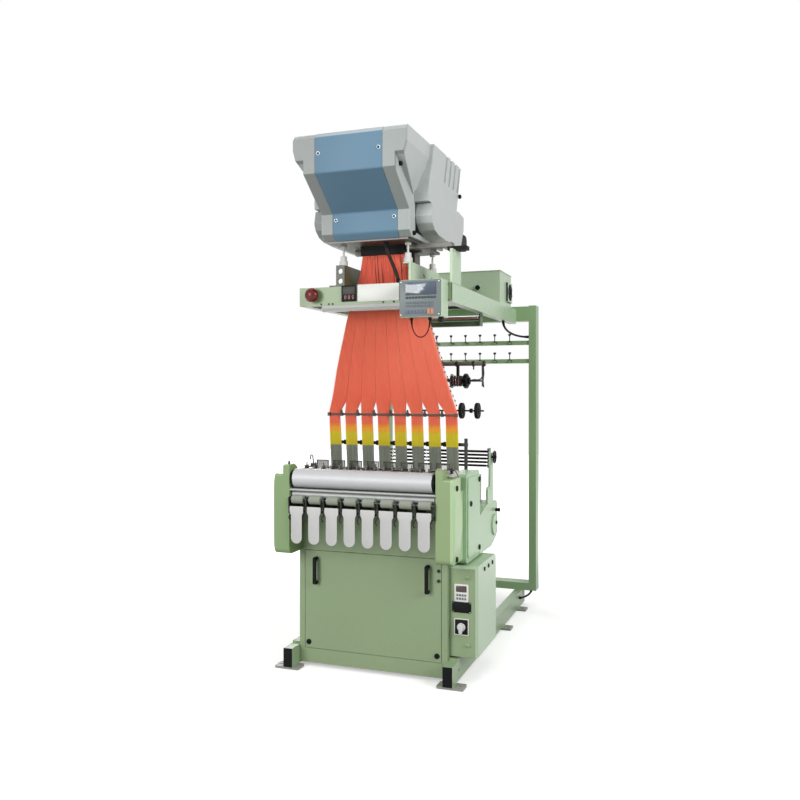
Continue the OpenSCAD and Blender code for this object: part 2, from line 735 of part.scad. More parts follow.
module body_panels() {
  half = rail_gap / 2 - 1;
  color([0.56, 0.65, 0.48]) loom() {
    difference() {
      block([-half, body_y, panel_z], [half, frame_y, deck_top - deck_t]);
      block([-half + 11, body_y + sheet, panel_z - 1], [half - 11, frame_y + 1, deck_top - deck_t + 1]);
      block([-door_w / 2 - door_gap, body_y - 1, door_z - door_gap],
        [door_w / 2 + door_gap, body_y + sheet + 1, door_top + door_gap]);
    }
    // door rebate behind the opening
    difference() {
      block([-half + 11, body_y + 10, door_z - 14], [half - 11, frame_y, door_top + 14]);
      block([-door_w / 2 + 16, body_y, door_z + 16], [door_w / 2 - 16, frame_y + 1, door_top - 16]);
    }
    // rear panel and deck
    block([-half, body_back_y, rail_top + 20], [half, body_back_y + sheet, deck_top - deck_t]);
    block([-half, body_y, deck_top - deck_t], [half, body_back_y + sheet, deck_top]);
    block([-housing_in, 40, deck_top - deck_t], [housing_in, body_y, deck_top]);
  }
}

handle_x = 316;
handle_z = 450;
lock_z = 132;
lock_d = 28;

module front_door() {
  color([0.57, 0.66, 0.49]) loom() difference() {
    union() {
      block([-door_w / 2, body_y - 1, door_z], [door_w / 2, body_y + sheet, door_top]);
      difference() {
        block([-door_w / 2, body_y + sheet, door_z], [door_w / 2, body_y + 10, door_top]);
        block([-door_w / 2 + sheet, body_y, door_z + sheet],
          [door_w / 2 - sheet, body_y + 11, door_top - sheet]);
      }
    }
    for (s = [-1, 1]) bar_y(body_y - 2, body_y + 4, s * (door_w / 2 - 22), lock_z, 12);
  }
}

// A bridge handle bent from one bar, standing on the door.
module bridge_handle(x, z) {
  across(x - handle_w / 2, x + handle_w / 2) polygon(concat(
    [[body_y - 1, z], [body_y - 1, z + 16], [body_y - 25, z + 24]],
    [[body_y - 25, z + handle_l - 24], [body_y - 1, z + handle_l - 16], [body_y - 1, z + handle_l]],
    arc(body_y - 26, z + handle_l - 12, 12, 90, 180, 4), arc(body_y - 26, z + 12, 12, 180, 270, 4)));
}

// Handles, quarter-turn locks and two screws of the door.
module door_fittings() {
  color([0.06, 0.06, 0.06]) loom() {
    for (s = [-1, 1]) {
      bridge_handle(s * handle_x, handle_z);
      bar_y(body_y - 9, body_y - 1, s * (door_w / 2 - 22), lock_z, lock_d);
      bar_y(body_y - 1, body_y + 3, s * (door_w / 2 - 22), lock_z, 11.8);
    }
    for (z = [517, 568]) bar_y(body_y - 5, body_y - 1, door_w / 2 - 12, z, 18);
  }
}

// --- side housings ------------------------------------------------------------------------

housing_in = 403;
housing_out = 506;
housing_y = -63;
housing_low = 630;
housing_top = 1052;
roller_y = -25;
roller_z = 1030;
bearing_r = 74;

boss_x = 440;     // outer face of the bearing boss
swell = 18;       // the side is drawn in by this much at the top and the bottom
bolt_d = 28;      // round sockets over the bolts of the housings

// Side outline of a front housing.
function housing_side() = concat(arc(housing_y + 26, housing_low + 26, 26, 180, 270, 4),
  [[84, housing_low], [84, housing_top]], arc(housing_y + 10, housing_top - 10, 10, 90, 180, 3));

// Plan of a front housing: the front corner, a side that opens to the back, and the step
// to the side frame.
function housing_plan() = [[housing_in, housing_y - 8], [housing_in, 84], [490, 84], [490, 62],
  [housing_out, 56], [housing_out - 5, housing_y + 10], [housing_out - 13, housing_y - 1],
  [housing_out - 13, housing_y - 8]];

// Front outline of a front housing: the outer side swells towards the middle of its height.
function housing_front() = [[housing_in, housing_low - 1], [housing_out - swell, housing_low - 1],
  [housing_out - swell / 2, housing_low + 70], [housing_out, housing_low + 165],
  [housing_out, housing_top - 160], [housing_out - swell / 2, housing_top - 70],
  [housing_out - swell, housing_top + 1], [housing_in, housing_top + 1]];

module housing() {
  difference() {
    union() {
      intersection() {
        across(housing_in, housing_out) polygon(housing_side());
        up(housing_low - 1, housing_top + 1) polygon(housing_plan());
        along(housing_y - 9, 90) polygon(housing_front());
      }
      // bearing boss of the take-up roller, with its arm back to the body
      intersection() {
        bar_x(housing_in, boss_x, roller_y, roller_z, 2 * bearing_r);
        block([housing_in - 1, housing_y, housing_low], [boss_x + 1, 200, roller_z + bearing_r + 1]);
      }
      across(housing_in, boss_x - 6) polygon([[roller_y, roller_z], [84, roller_z - 20], [84, housing_top],
        [44, housing_top + 4], [roller_y + 14, roller_z + bearing_r - 4]]);
    }
    bar_x(housing_in - 1, housing_in + 26, roller_y, roller_z, journal_d + 2 * fit);
    bar_x(housing_in - 1, housing_in + 22, drive_y, drive_z, drive_journal_d + 2 * fit);
  }
  // flange that bolts on the side frame
  block([frame_x, 84, housing_low], [housing_out - 16, 128, deck_top - 20]);
}

module housing_left() { color([0.60, 0.70, 0.53]) loom() mirror([1, 0, 0]) housing(); }

module housing_right() {
  color([0.66, 0.77, 0.60]) loom() {
    housing();
    // round sockets over the bolts, sunk into the drawn-in side
    color([0.05, 0.05, 0.05]) for (z = [653, 1006])
      bar_x(housing_out - 30, housing_out - 8, -2, z, bolt_d);
  }
}

casing_y0 = 130;
casing_y1 = 402;
casing_low = 604;
casing_top = 1064;

// The gear casing behind the right housing, with its cover plate and bolts.
module gear_casing() {
  color([0.72, 0.83, 0.70]) loom() {
    across(frame_x, housing_out) polygon(round_rect(casing_y0, casing_low, casing_y1, casing_top, 26));
    across(housing_out, housing_out + 6)
      polygon(round_rect(casing_y0 + 22, casing_low + 24, casing_y1 - 12, casing_top - 22, 20));
    color([0.05, 0.05, 0.05]) for (p = [[372, 1016], [372, 650], [200, 905]])
      bar_x(housing_out + 6, housing_out + 10, p.x, p.y, bolt_d);
  }
}

motor_y0 = 404;
motor_y1 = 822;
motor_low = 602;
motor_top = 850;
motor_flat_y = 560;   // front end of the level stretch on top of the motor casing

// Rounded cover of the drive motor, with a raised round lid.
module motor_casing() {
  color([0.70, 0.80, 0.68]) loom() {
    across(frame_x, housing_out) polygon(concat([[motor_y0, motor_low], [motor_y1 - 150, motor_low]],
      arc(motor_y1 - 60, motor_low + 90, 60, -60, 0, 5), arc(motor_y1 - 40, motor_top - 40, 40, 0, 90, 5),
      [[motor_flat_y, motor_top], [motor_y0, motor_top - 40]]));
    bar_x(housing_out, housing_out + 6, 740, 715, 118);
    color([0.05, 0.05, 0.05]) {
      bar_x(housing_out + 6, housing_out + 10, 770, 722, 20);
      bar_x(housing_out, housing_out + 26, 773, 796, 18);
    }
  }
}

// --- rollers ------------------------------------------------------------------------------

drive_y = -30;
drive_z = 945;
drive_journal_d = 24;
press_y = -66;
nip = (drive_d + press_d) / 2 + nip_gap;
press_z = drive_z - sqrt(nip * nip - pow(drive_y - press_y, 2));
lever_y = -62;
lever_z = 860;
rod_d = 13;

module take_up_roller() {
  color([0.80, 0.80, 0.81]) loom() union() {
    bar_x(-roller_l / 2, roller_l / 2, roller_y, roller_z, roller_d);
    bar_x(-roller_l / 2 - 12, roller_l / 2 + 12, roller_y, roller_z, roller_d - 14);
    bar_x(-housing_in - 24, housing_in + 24, roller_y, roller_z, journal_d);
  }
}

// The driven bar that the press rollers run against.
module drive_bar() {
  color([0.55, 0.57, 0.57]) loom() union() {
    bar_x(-housing_in + 9, housing_in - 9, drive_y, drive_z, drive_d);
    bar_x(-housing_in - 20, housing_in + 20, drive_y, drive_z, drive_journal_d);
  }
}

// Rubber press rollers on their common shaft.
module press_rollers() {
  color([0.52, 0.54, 0.51]) loom() union() {
    bar_x(-housing_in + 1, housing_in - 1, press_y, press_z, small_shaft_d);
    for (i = [0:tapes - 1]) bar_x(tape_x(i) - press_w / 2, tape_x(i) + press_w / 2, press_y, press_z, press_d);
  }
}

cheek_t = 6;

// Cheeks between the tapes that carry the press rollers and the lever shaft, and the fixed rods.
module lever_brackets() {
  color([0.09, 0.09, 0.09]) loom() {
    for (i = [0:tapes]) let (x = (i - tapes / 2) * tape_pitch) difference() {
      across(x - cheek_t / 2, x + cheek_t / 2) difference() {
        polygon(concat([[body_y, 830], [body_y, 900], [20, 905]], arc(press_y, press_z, 13, 60, 190, 6),
          [[lever_y - 12, lever_z + 8]], arc(lever_y, lever_z, 14, 190, 290, 5)));
        translate([drive_y, drive_z]) circle(d = drive_d + 8, $fn = fine);
      }
      bar_x(x - 4, x + 4, press_y, press_z, small_shaft_d + 2 * fit);
      bar_x(x - 4, x + 4, lever_y, lever_z, small_shaft_d + 0.02);
    }
    bar_x(-housing_in + 0.5, housing_in - 0.5, lever_y, lever_z, small_shaft_d);
    color([0.80, 0.82, 0.84]) bar_x(-housing_in, housing_in, -56, 971, rod_d);
  }
}

hub_d = 24;
tongue_t = 4;
tongue_y = -88;
tongue_top = 888;
ear = 8;         // the tongue's top stands out by this much at each side

// A press lever: a hub on the shaft and a tongue that hangs down in front.
module press_lever(i) {
  x = tape_x(i);
  color([0.86, 0.86, 0.85]) loom() {
    difference() {
      union() {
        bar_x(x - 26, x + 26, lever_y, lever_z, hub_d);
        block([x - 26, tongue_y + tongue_t, lever_z - 14], [x + 26, lever_y, lever_z + 10]);
      }
      bar_x(x - 27, x + 27, lever_y, lever_z, small_shaft_d + 2 * fit);
    }
    along(tongue_y, tongue_y + tongue_t) polygon(concat(
      [[x - lever_w / 2 - ear, tongue_top], [x - lever_w / 2 - ear, 858], [x - lever_w / 2, 842]],
      arc(x, lever_low + lever_w / 2, lever_w / 2, 180, 360, 16),
      [[x + lever_w / 2, 842], [x + lever_w / 2 + ear, 858], [x + lever_w / 2 + ear, tongue_top]]));
  }
}

// --- electrics ----------------------------------------------------------------------------

cabinet_x = frame_x + 1;
cabinet_y = 125;
cabinet_z = rail_top + 18;
cabinet_edge = [11, 25];   // fold of the front corner, across and along

module cabinet() {
  x1 = cabinet_x + cabinet_w;
  color([0.71, 0.81, 0.69]) loom() {
    difference() {
      across(cabinet_x, x1) polygon(concat(
        [[cabinet_y, cabinet_z], [cabinet_y, cabinet_top - 10], [cabinet_y + 12, cabinet_top]],
        arc(cabinet_y + cabinet_d - 30, cabinet_top - 30, 30, 90, 0), [[cabinet_y + cabinet_d, cabinet_z]]));
      block([cabinet_x + 4, cabinet_y - 1, cabinet_z + 4],
        [x1 - cabinet_edge.x - 6, cabinet_y + cabinet_d - 40, cabinet_top - 34]);
      // folded front corner
      up(cabinet_z - 1, cabinet_top + 1) polygon([[x1 - cabinet_edge.x, cabinet_y - 1],
        [x1 - cabinet_edge.x, cabinet_y], [x1, cabinet_y + cabinet_edge.y], [x1 + 1, cabinet_y - 1]]);
    }
    // feet on the rail flange and three round glands on the side
    for (y = [150, 480]) block([cabinet_x + 2, y, rail_top + 10], [frame_x + rail_w, y + 24, cabinet_z]);
    color([0.05, 0.05, 0.05]) for (y = [273, 360, 448]) bar_x(x1, x1 + 3, y, 557, 22);
  }
}

door_t = 3;
door_clear = 0.8;   // gap behind the cabinet's door
plate_lift = 6;     // the switch plate's front over the door
door_x0 = cabinet_x + 5;
door_x1 = cabinet_x + cabinet_w - cabinet_edge.x - 1;
switch_x = cabinet_x + 64;
switch_z = 286;

// The cabinet's door with its display, name plate, latches and the switch plate.
module cabinet_door() {
  front = cabinet_y - door_clear - door_t;
  color([0.60, 0.70, 0.53]) loom() {
    difference() {
      block([door_x0, front, cabinet_z + 3], [door_x1, front + door_t, cabinet_top - 14]);
      bar_y(front - 1, front + door_t + 1, switch_x, switch_z, 16);
    }
    color([0.75, 0.76, 0.74]) block([switch_x - 36, front - 5, 415], [switch_x + 36, front, 503]);
    color([0.10, 0.10, 0.10]) block([switch_x - 50, front - 2, 358], [switch_x + 50, front, 413]);
    color([0.08, 0.08, 0.08]) difference() {
      block([switch_x - 36, front - plate_lift, switch_z - 40], [switch_x + 36, front, switch_z + 40]);
      bar_y(front - plate_lift - 1, front + 1, switch_x, switch_z, 12 + 2 * fit);
    }
    color([0.50, 0.58, 0.45]) for (z = [193, 538])
      block([switch_x + 20, front - 5, z - 7], [switch_x + 46, front, z + 7]);
  }
}

module switch_knob() {
  front = cabinet_y - door_clear - door_t - plate_lift;
  color([0.90, 0.90, 0.88]) loom() union() {
    bar_y(front - 8, front - 0.3, switch_x, switch_z, 44);
    along(front - 24, front - 8) polygon(concat(arc(switch_x, switch_z + 4, 15, 0, 180, 8),
      [[switch_x - 7, switch_z - 30], [switch_x + 7, switch_z - 30]]));
    bar_y(front - 0.3, front + 8, switch_x, switch_z, 12);
  }
}

stop_x = -342;
stop_z = 2007;
stop_stem_d = 22;

// Red mushroom stop button, with the stem that slides in the front beam.
module stop_button() {
  r = stop_d / 2;
  stem = stop_stem_d / 2;
  color([0.62, 0.08, 0.07]) loom() translate([stop_x, beam_y, stop_z]) rotate([90, 0, 0])
    rotate_extrude($fn = fine) polygon(concat(
      [[0, -14], [stem, -14], [stem, stop_travel + 16], [r - 4, stop_travel + 20], [r, stop_travel + 24]],
      [for (a = [0:10:50]) [r * cos(a), stop_travel + 28 + 0.72 * r * sin(a) / sin(50)]],
      [[0, stop_travel + 28 + 0.76 * r]]));
}

terminal_x = 190;
terminal_y = 5;
terminal_z = 1864;

// A row of flat keys on the terminal: n keys of size w x h, their lower edge d under its top.
module key_row(n, pitch, w, d, h, first = 0) {
  z = terminal_z + terminal_h - d;
  for (i = [first:first + n - 1]) let (x = terminal_x + 34 + i * pitch)
    block([x, terminal_y - 3, z], [x + w, terminal_y, z + h]);
}

// Operator terminal: a box on the front beam, a display bezel, keys and a bare screen.
module terminal() {
  x1 = terminal_x + terminal_w;
  z1 = terminal_z + terminal_h;
  color([0.68, 0.78, 0.64]) loom() {
    block([terminal_x + 3, terminal_y + 5, terminal_z], [x1, beam_y, z1]);
    color([0.55, 0.62, 0.66]) block([terminal_x, terminal_y, terminal_z + 4], [x1 - 8, terminal_y + 5, z1 - 3]);
    color([0.13, 0.18, 0.28]) block([terminal_x + 32, terminal_y - 2, z1 - 78], [x1 - 30, terminal_y, z1 - 14]);
    color([0.25, 0.28, 0.33]) key_row(10, 16.5, 12, 96, 10);
    color([0.38, 0.42, 0.48]) for (j = [0:1]) key_row(8, 19, 14, 122 + j * 16, 10);
    color([0.45, 0.48, 0.60]) key_row(6, 19, 14, 172, 18);
    color([0.86, 0.53, 0.38]) key_row(2, 19, 14, 176, 26, 6);
  }
}

control_y0 = 1255;
control_y1 = 1585;
control_top = 2262;
fan_y = 1505;
fan_z = arm_top + 95;
fan_w = 130;

// Control box of the jacquard head on the arms, with its fan and door knob.
module control_box() {
  color([0.57, 0.68, 0.51]) loom() {
    difference() {
      block([-arm_x + 10, control_y0, arm_top], [arm_x - 10, control_y1, control_top]);
      block([-arm_x + 14, control_y0 + 4, arm_top + 4], [arm_x - 14, control_y1 - 4, control_top - 4]);
      // way for the cables through the floor of the box
      block([-150, control_y0 + 75, arm_top - 1], [150, control_y1 - 75, arm_top + 5]);
    }
    block([-arm_x + 6, control_y0 - 4, control_top], [arm_x - 6, control_y1 + 4, control_top + 3]);
    color([0.05, 0.05, 0.05]) {
      // fan with its guard, and the door knob
      difference() {
        block([arm_x - 10, fan_y - fan_w / 2, fan_z - fan_w / 2],
          [arm_x + 2, fan_y + fan_w / 2, fan_z + fan_w / 2]);
        bar_x(arm_x - 4, arm_x + 3, fan_y, fan_z, fan_w - 18);
      }
      bar_x(arm_x - 7, arm_x - 0.5, fan_y, fan_z, 40);
      for (a = [0, 60, 120]) translate([arm_x - 3.5, fan_y, fan_z]) rotate([a, 0, 0])
        cube([4, 3, fan_w - 14], center = true);
      bar_y(control_y0 - 18, control_y0, 277, 2156, 30);
    }
  }
}

// --- rear of the weaving zone -------------------------------------------------------------

rack_y = 672;
rack_x = [-130, 486];
rack_z = 1060;
rack_rods = 5;
rack_pitch = 20;
wheel_y = rack_y + 12;
wheel_z = rack_z + 50;
wheel_shaft_d = 12;
wheel_holes_r = 22;

// Rack of rubber-thread rods with its end plates and side bracket.
module rod_rack() {
  color([0.11, 0.11, 0.11]) loom() {
    for (i = [0:rack_rods - 1]) bar_x(rack_x[0], rack_x[1], rack_y + 4 * i, rack_z + i * rack_pitch, 9);
    for (x = [rack_x[0] - 8, rack_x[1]])
      block([x, rack_y - 14, rack_z - 12], [x + 8, rack_y + 34, rack_z + rack_rods * rack_pitch]);
    block([rack_x[0] - 8, rack_y - 14, deck_top], [rack_x[0], rack_y + 20, rack_z - 12]);
    color([0.62, 0.72, 0.57]) difference() {
      across(rack_x[1] + 8, housing_out) polygon([[rack_y - 16, rack_z + 74], [rack_y + 34, rack_z + 74],
        [rack_y + 50, motor_top], [rack_y - 84, motor_top], [rack_y - 84, motor_top + 80],
        [rack_y - 66, motor_top + 96], [rack_y - 42, motor_top + 96], [rack_y - 28, motor_top + 70]]);
      bar_x(rack_x[1] + 7, housing_out + 1, wheel_y, wheel_z, wheel_shaft_d + 2 * fit);
    }
  }
}

// Small hand wheel of the rack, with its hub and rim.
module rack_wheel() {
  color([0.09, 0.09, 0.09]) loom() difference() {
    union() {
      bar_x(rack_x[1] + 9, housing_out + 28, wheel_y, wheel_z, wheel_shaft_d);
      bar_x(housing_out + 12, housing_out + 26, wheel_y, wheel_z, 74);
    }
    for (a = [0:60:300]) bar_x(housing_out + 11, housing_out + 27,
      wheel_y + wheel_holes_r * cos(a), wheel_z + wheel_holes_r * sin(a), 14);
  }
}

feeder_bar_z = 1645;
disc_z = 1375;
disc_d = 92;
disc_w = 20;
disc_x = [337, 430];
disc_shaft_d = 10;

// The two rubber discs on the shaft that turns in the feeder column.
module feeder_discs() {
  color([0.08, 0.08, 0.08]) loom() union() {
    bar_x(column_x[0] - 16, 468, column_y, disc_z, disc_shaft_d);
    for (x = disc_x) bar_x(x - disc_w / 2, x + disc_w / 2, column_y, disc_z, disc_d);
    bar_x(column_x[0] + 13, column_x[0] + 25, column_y, disc_z, 26);
    bar_x(385, 400, column_y, disc_z, 26);
  }
}

feeder_z = 1546;   // axis of the feeder head

// Columns on the deck with the bar that carries the weft feeder.
module feeder_stand() {
  half = column_d / 2;
  color([0.62, 0.72, 0.57]) loom() {
    difference() {
      block([column_x[0] - half, column_y - half, deck_top],
        [column_x[0] + half, column_y + half, feeder_bar_z + 12]);
      bar_x(column_x[0] - half - 1, column_x[0] + half + 1, column_y, disc_z, disc_shaft_d + 2 * fit);
    }
    color([0.14, 0.14, 0.14]) bar_z(deck_top, comber_z + 30, column_x[1], column_y - half + 8, 16);
    color([0.36, 0.32, 0.29])
      block([column_x[0] + half, column_y - 8, feeder_bar_z - 9], [480, column_y + 8, feeder_bar_z + 9]);
    color([0.08, 0.08, 0.08]) {
      // feeder head on its hanger: drum, flange, end cap and guide rod with its curved lever
      block([306, column_y - 7, feeder_z + 14], [322, column_y + 7, feeder_bar_z - 9]);
      bar_x(282, 340, column_y, feeder_z, 58);
      bar_x(276, 282, column_y, feeder_z, 82);
      bar_x(340, 352, column_y, feeder_z, 30);
      bar_x(352, 372, column_y, feeder_z, 80);
      bar_x(372, 456, column_y, feeder_z, 9);
      across(456, 462) translate([column_y, feeder_z])
        polygon([[-6, -31], [6, -31], [10, 24], [4, 88], [-8, 88], [-4, 24]]);
    }
  }
}

// --- cables -------------------------------------------------------------------------------

// Route of a cable from gland a to gland b: it leaves each one along its own direction.
function route(a, dir_a, b, dir_b, reach) =
  concat([a], bezier(a + 6 * dir_a, a + reach * dir_a, b + reach * dir_b, b + 6 * dir_b), [b]);

down = [0, 0, -1];
// From the underside of the right arm to the inner face of the rear post.
arm_route = route([405, 1420, arm_z], down, [post_x, post_y + 15, arm_z - 90], [-1, 0, 0], 80);
// From the foot of the rear post to the right rail.
rail_route = route([post_x + 12, post_y + 25, rail_top], down, [rail_x + rail_w, post_y - 85, 78], [1, 0, 0], 30);
// Loop under the operator terminal.
terminal_route = route([235, 60, terminal_z], down, [335, 60, terminal_z], down, 130);
// From the head's base down to the front beam.
neck_route = route([80, 100, base_top], down, [140, 125, arm_top], -down, 60);

module arm_cable() { color([0.03, 0.03, 0.03]) loom() cable(arm_route, 14); }
module rail_cable() { color([0.03, 0.03, 0.03]) loom() cable(rail_route, 13); }
module terminal_cable() { color([0.03, 0.03, 0.03]) loom() cable(terminal_route, 6); }
module neck_cable() { color([0.03, 0.03, 0.03]) loom() cable(neck_route, 19); }

base_rails();
rail_caps();
rear_stand();
yarn_guides();
overhead_arms();
roller_hanger();
warp_roller();
front_beam();
work_lamp();
head_feet();
head_brackets();
head_adjusters();
head_base();
front_shell();
front_panel();
side_cover_left();
side_cover_right();
head_plug();
harness_collar();
harness_fan();
comber_bar();
harness_groups();
group_guard();
spring_box();
breast_bar();
reed_sley();
side_frames();
body_panels();
front_door();
door_fittings();
housing_left();
housing_right();
gear_casing();
motor_casing();
take_up_roller();
drive_bar();
press_rollers();
lever_brackets();
press_lever(0);  // press_lever_1
press_lever(1);  // press_lever_2
press_lever(2);  // press_lever_3
press_lever(3);  // press_lever_4
press_lever(4);  // press_lever_5
press_lever(5);  // press_lever_6
press_lever(6);  // press_lever_7
press_lever(7);  // press_lever_8
cabinet();
cabinet_door();
switch_knob();
stop_button();
terminal();
control_box();
rod_rack();
rack_wheel();
feeder_stand();
feeder_discs();
arm_cable();
rail_cable();
terminal_cable();
neck_cable();
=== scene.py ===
"""Elastic tape weaving loom: the finishes of its CAD pieces and the fine pieces that stand on them.

Shapes are drawn in millimetres with the loom's own lengths: x from the middle, y from the front
ends of the base rails, z from the floor. make() turns them into metres in the shared frame.
"""

import logging
from dataclasses import dataclass, field
from enum import Enum
from typing import Iterable, Sequence

import bmesh
import bpy
import numpy as np
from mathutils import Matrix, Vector


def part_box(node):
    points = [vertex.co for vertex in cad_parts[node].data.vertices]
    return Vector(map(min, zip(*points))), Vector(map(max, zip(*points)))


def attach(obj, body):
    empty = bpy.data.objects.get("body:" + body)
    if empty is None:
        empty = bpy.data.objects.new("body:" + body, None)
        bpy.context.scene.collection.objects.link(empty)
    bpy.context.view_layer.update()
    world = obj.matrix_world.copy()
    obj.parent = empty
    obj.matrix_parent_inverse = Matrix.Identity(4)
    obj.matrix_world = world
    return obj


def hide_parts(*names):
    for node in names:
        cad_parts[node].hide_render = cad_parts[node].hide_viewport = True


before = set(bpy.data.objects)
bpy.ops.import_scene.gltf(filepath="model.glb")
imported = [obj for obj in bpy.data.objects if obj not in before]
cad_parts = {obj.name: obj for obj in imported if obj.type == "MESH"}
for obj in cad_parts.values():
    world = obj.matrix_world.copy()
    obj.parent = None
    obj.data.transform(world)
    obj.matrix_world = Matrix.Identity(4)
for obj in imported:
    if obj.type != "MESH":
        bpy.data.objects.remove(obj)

Rgb = tuple[int, int, int]
Color = tuple[float, float, float, float]
Point = tuple[float, float, float]
Shape = tuple[np.ndarray, list[np.ndarray]]  # vertices, and faces in blocks of equal corners

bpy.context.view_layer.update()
RAIL_FRONT: float = float(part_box("base_rails")[0].y)
SHARP_DEGREES = 35.0
NO_RADIUS = 0.05  # stands for 0 on an axis, where a ring of vertices would fall together
UP: Point = (0.31, 0.2, 0.93)  # a direction that no straight run in the loom takes
LOG = logging.getLogger("loom")


def to_frame(points: Sequence) -> np.ndarray:
    """Turn the loom's own millimetres into metres in the shared frame.

    Args:
        points: one point or an array of points, in millimetres.

    Returns:
        The same points in metres, with y counted from the frame's origin.
    """
    return np.asarray(points, float) * 0.001 + np.array([0.0, RAIL_FRONT, 0.0])


# --- shader expressions -------------------------------------------------------------------


class Field:
    """A socket that takes part in arithmetic: each operator adds the Math node it stands for."""

    def __init__(self, tree: "Tree", socket: bpy.types.NodeSocket) -> None:
        """Wrap a socket of the tree."""
        self.tree = tree
        self.socket = socket

    def _math(self, operation: str, *values: "Field | float") -> "Field":
        """Add a Math node over the given values."""
        return self.tree.node("ShaderNodeMath", {"operation": operation}, dict(enumerate(values)))

    def __add__(self, other: "Field | float") -> "Field":
        """Sum."""
        return self._math("ADD", self, other)

    def __sub__(self, other: "Field | float") -> "Field":
        """Difference."""
        return self._math("SUBTRACT", self, other)

    def __rsub__(self, other: "Field | float") -> "Field":
        """Difference from a number."""
        return self._math("SUBTRACT", other, self)

    def __mul__(self, other: "Field | float") -> "Field":
        """Product."""
        return self._math("MULTIPLY", self, other)

    def highest(self, other: "Field | float") -> "Field":
        """The larger of two values."""
        return self._math("MAXIMUM", self, other)

    def below(self, limit: float) -> "Field":
        """1 where the value is under the limit."""
        return self._math("LESS_THAN", self, limit)

    def ramp(self, low: float, high: float) -> "Field":
        """0 at low, 1 at high, with a smooth step between them."""
        return self.tree.node("ShaderNodeMapRange", {"interpolation_type": "SMOOTHSTEP"},
                              {0: self, 1: low, 2: high, 3: 0.0, 4: 1.0})


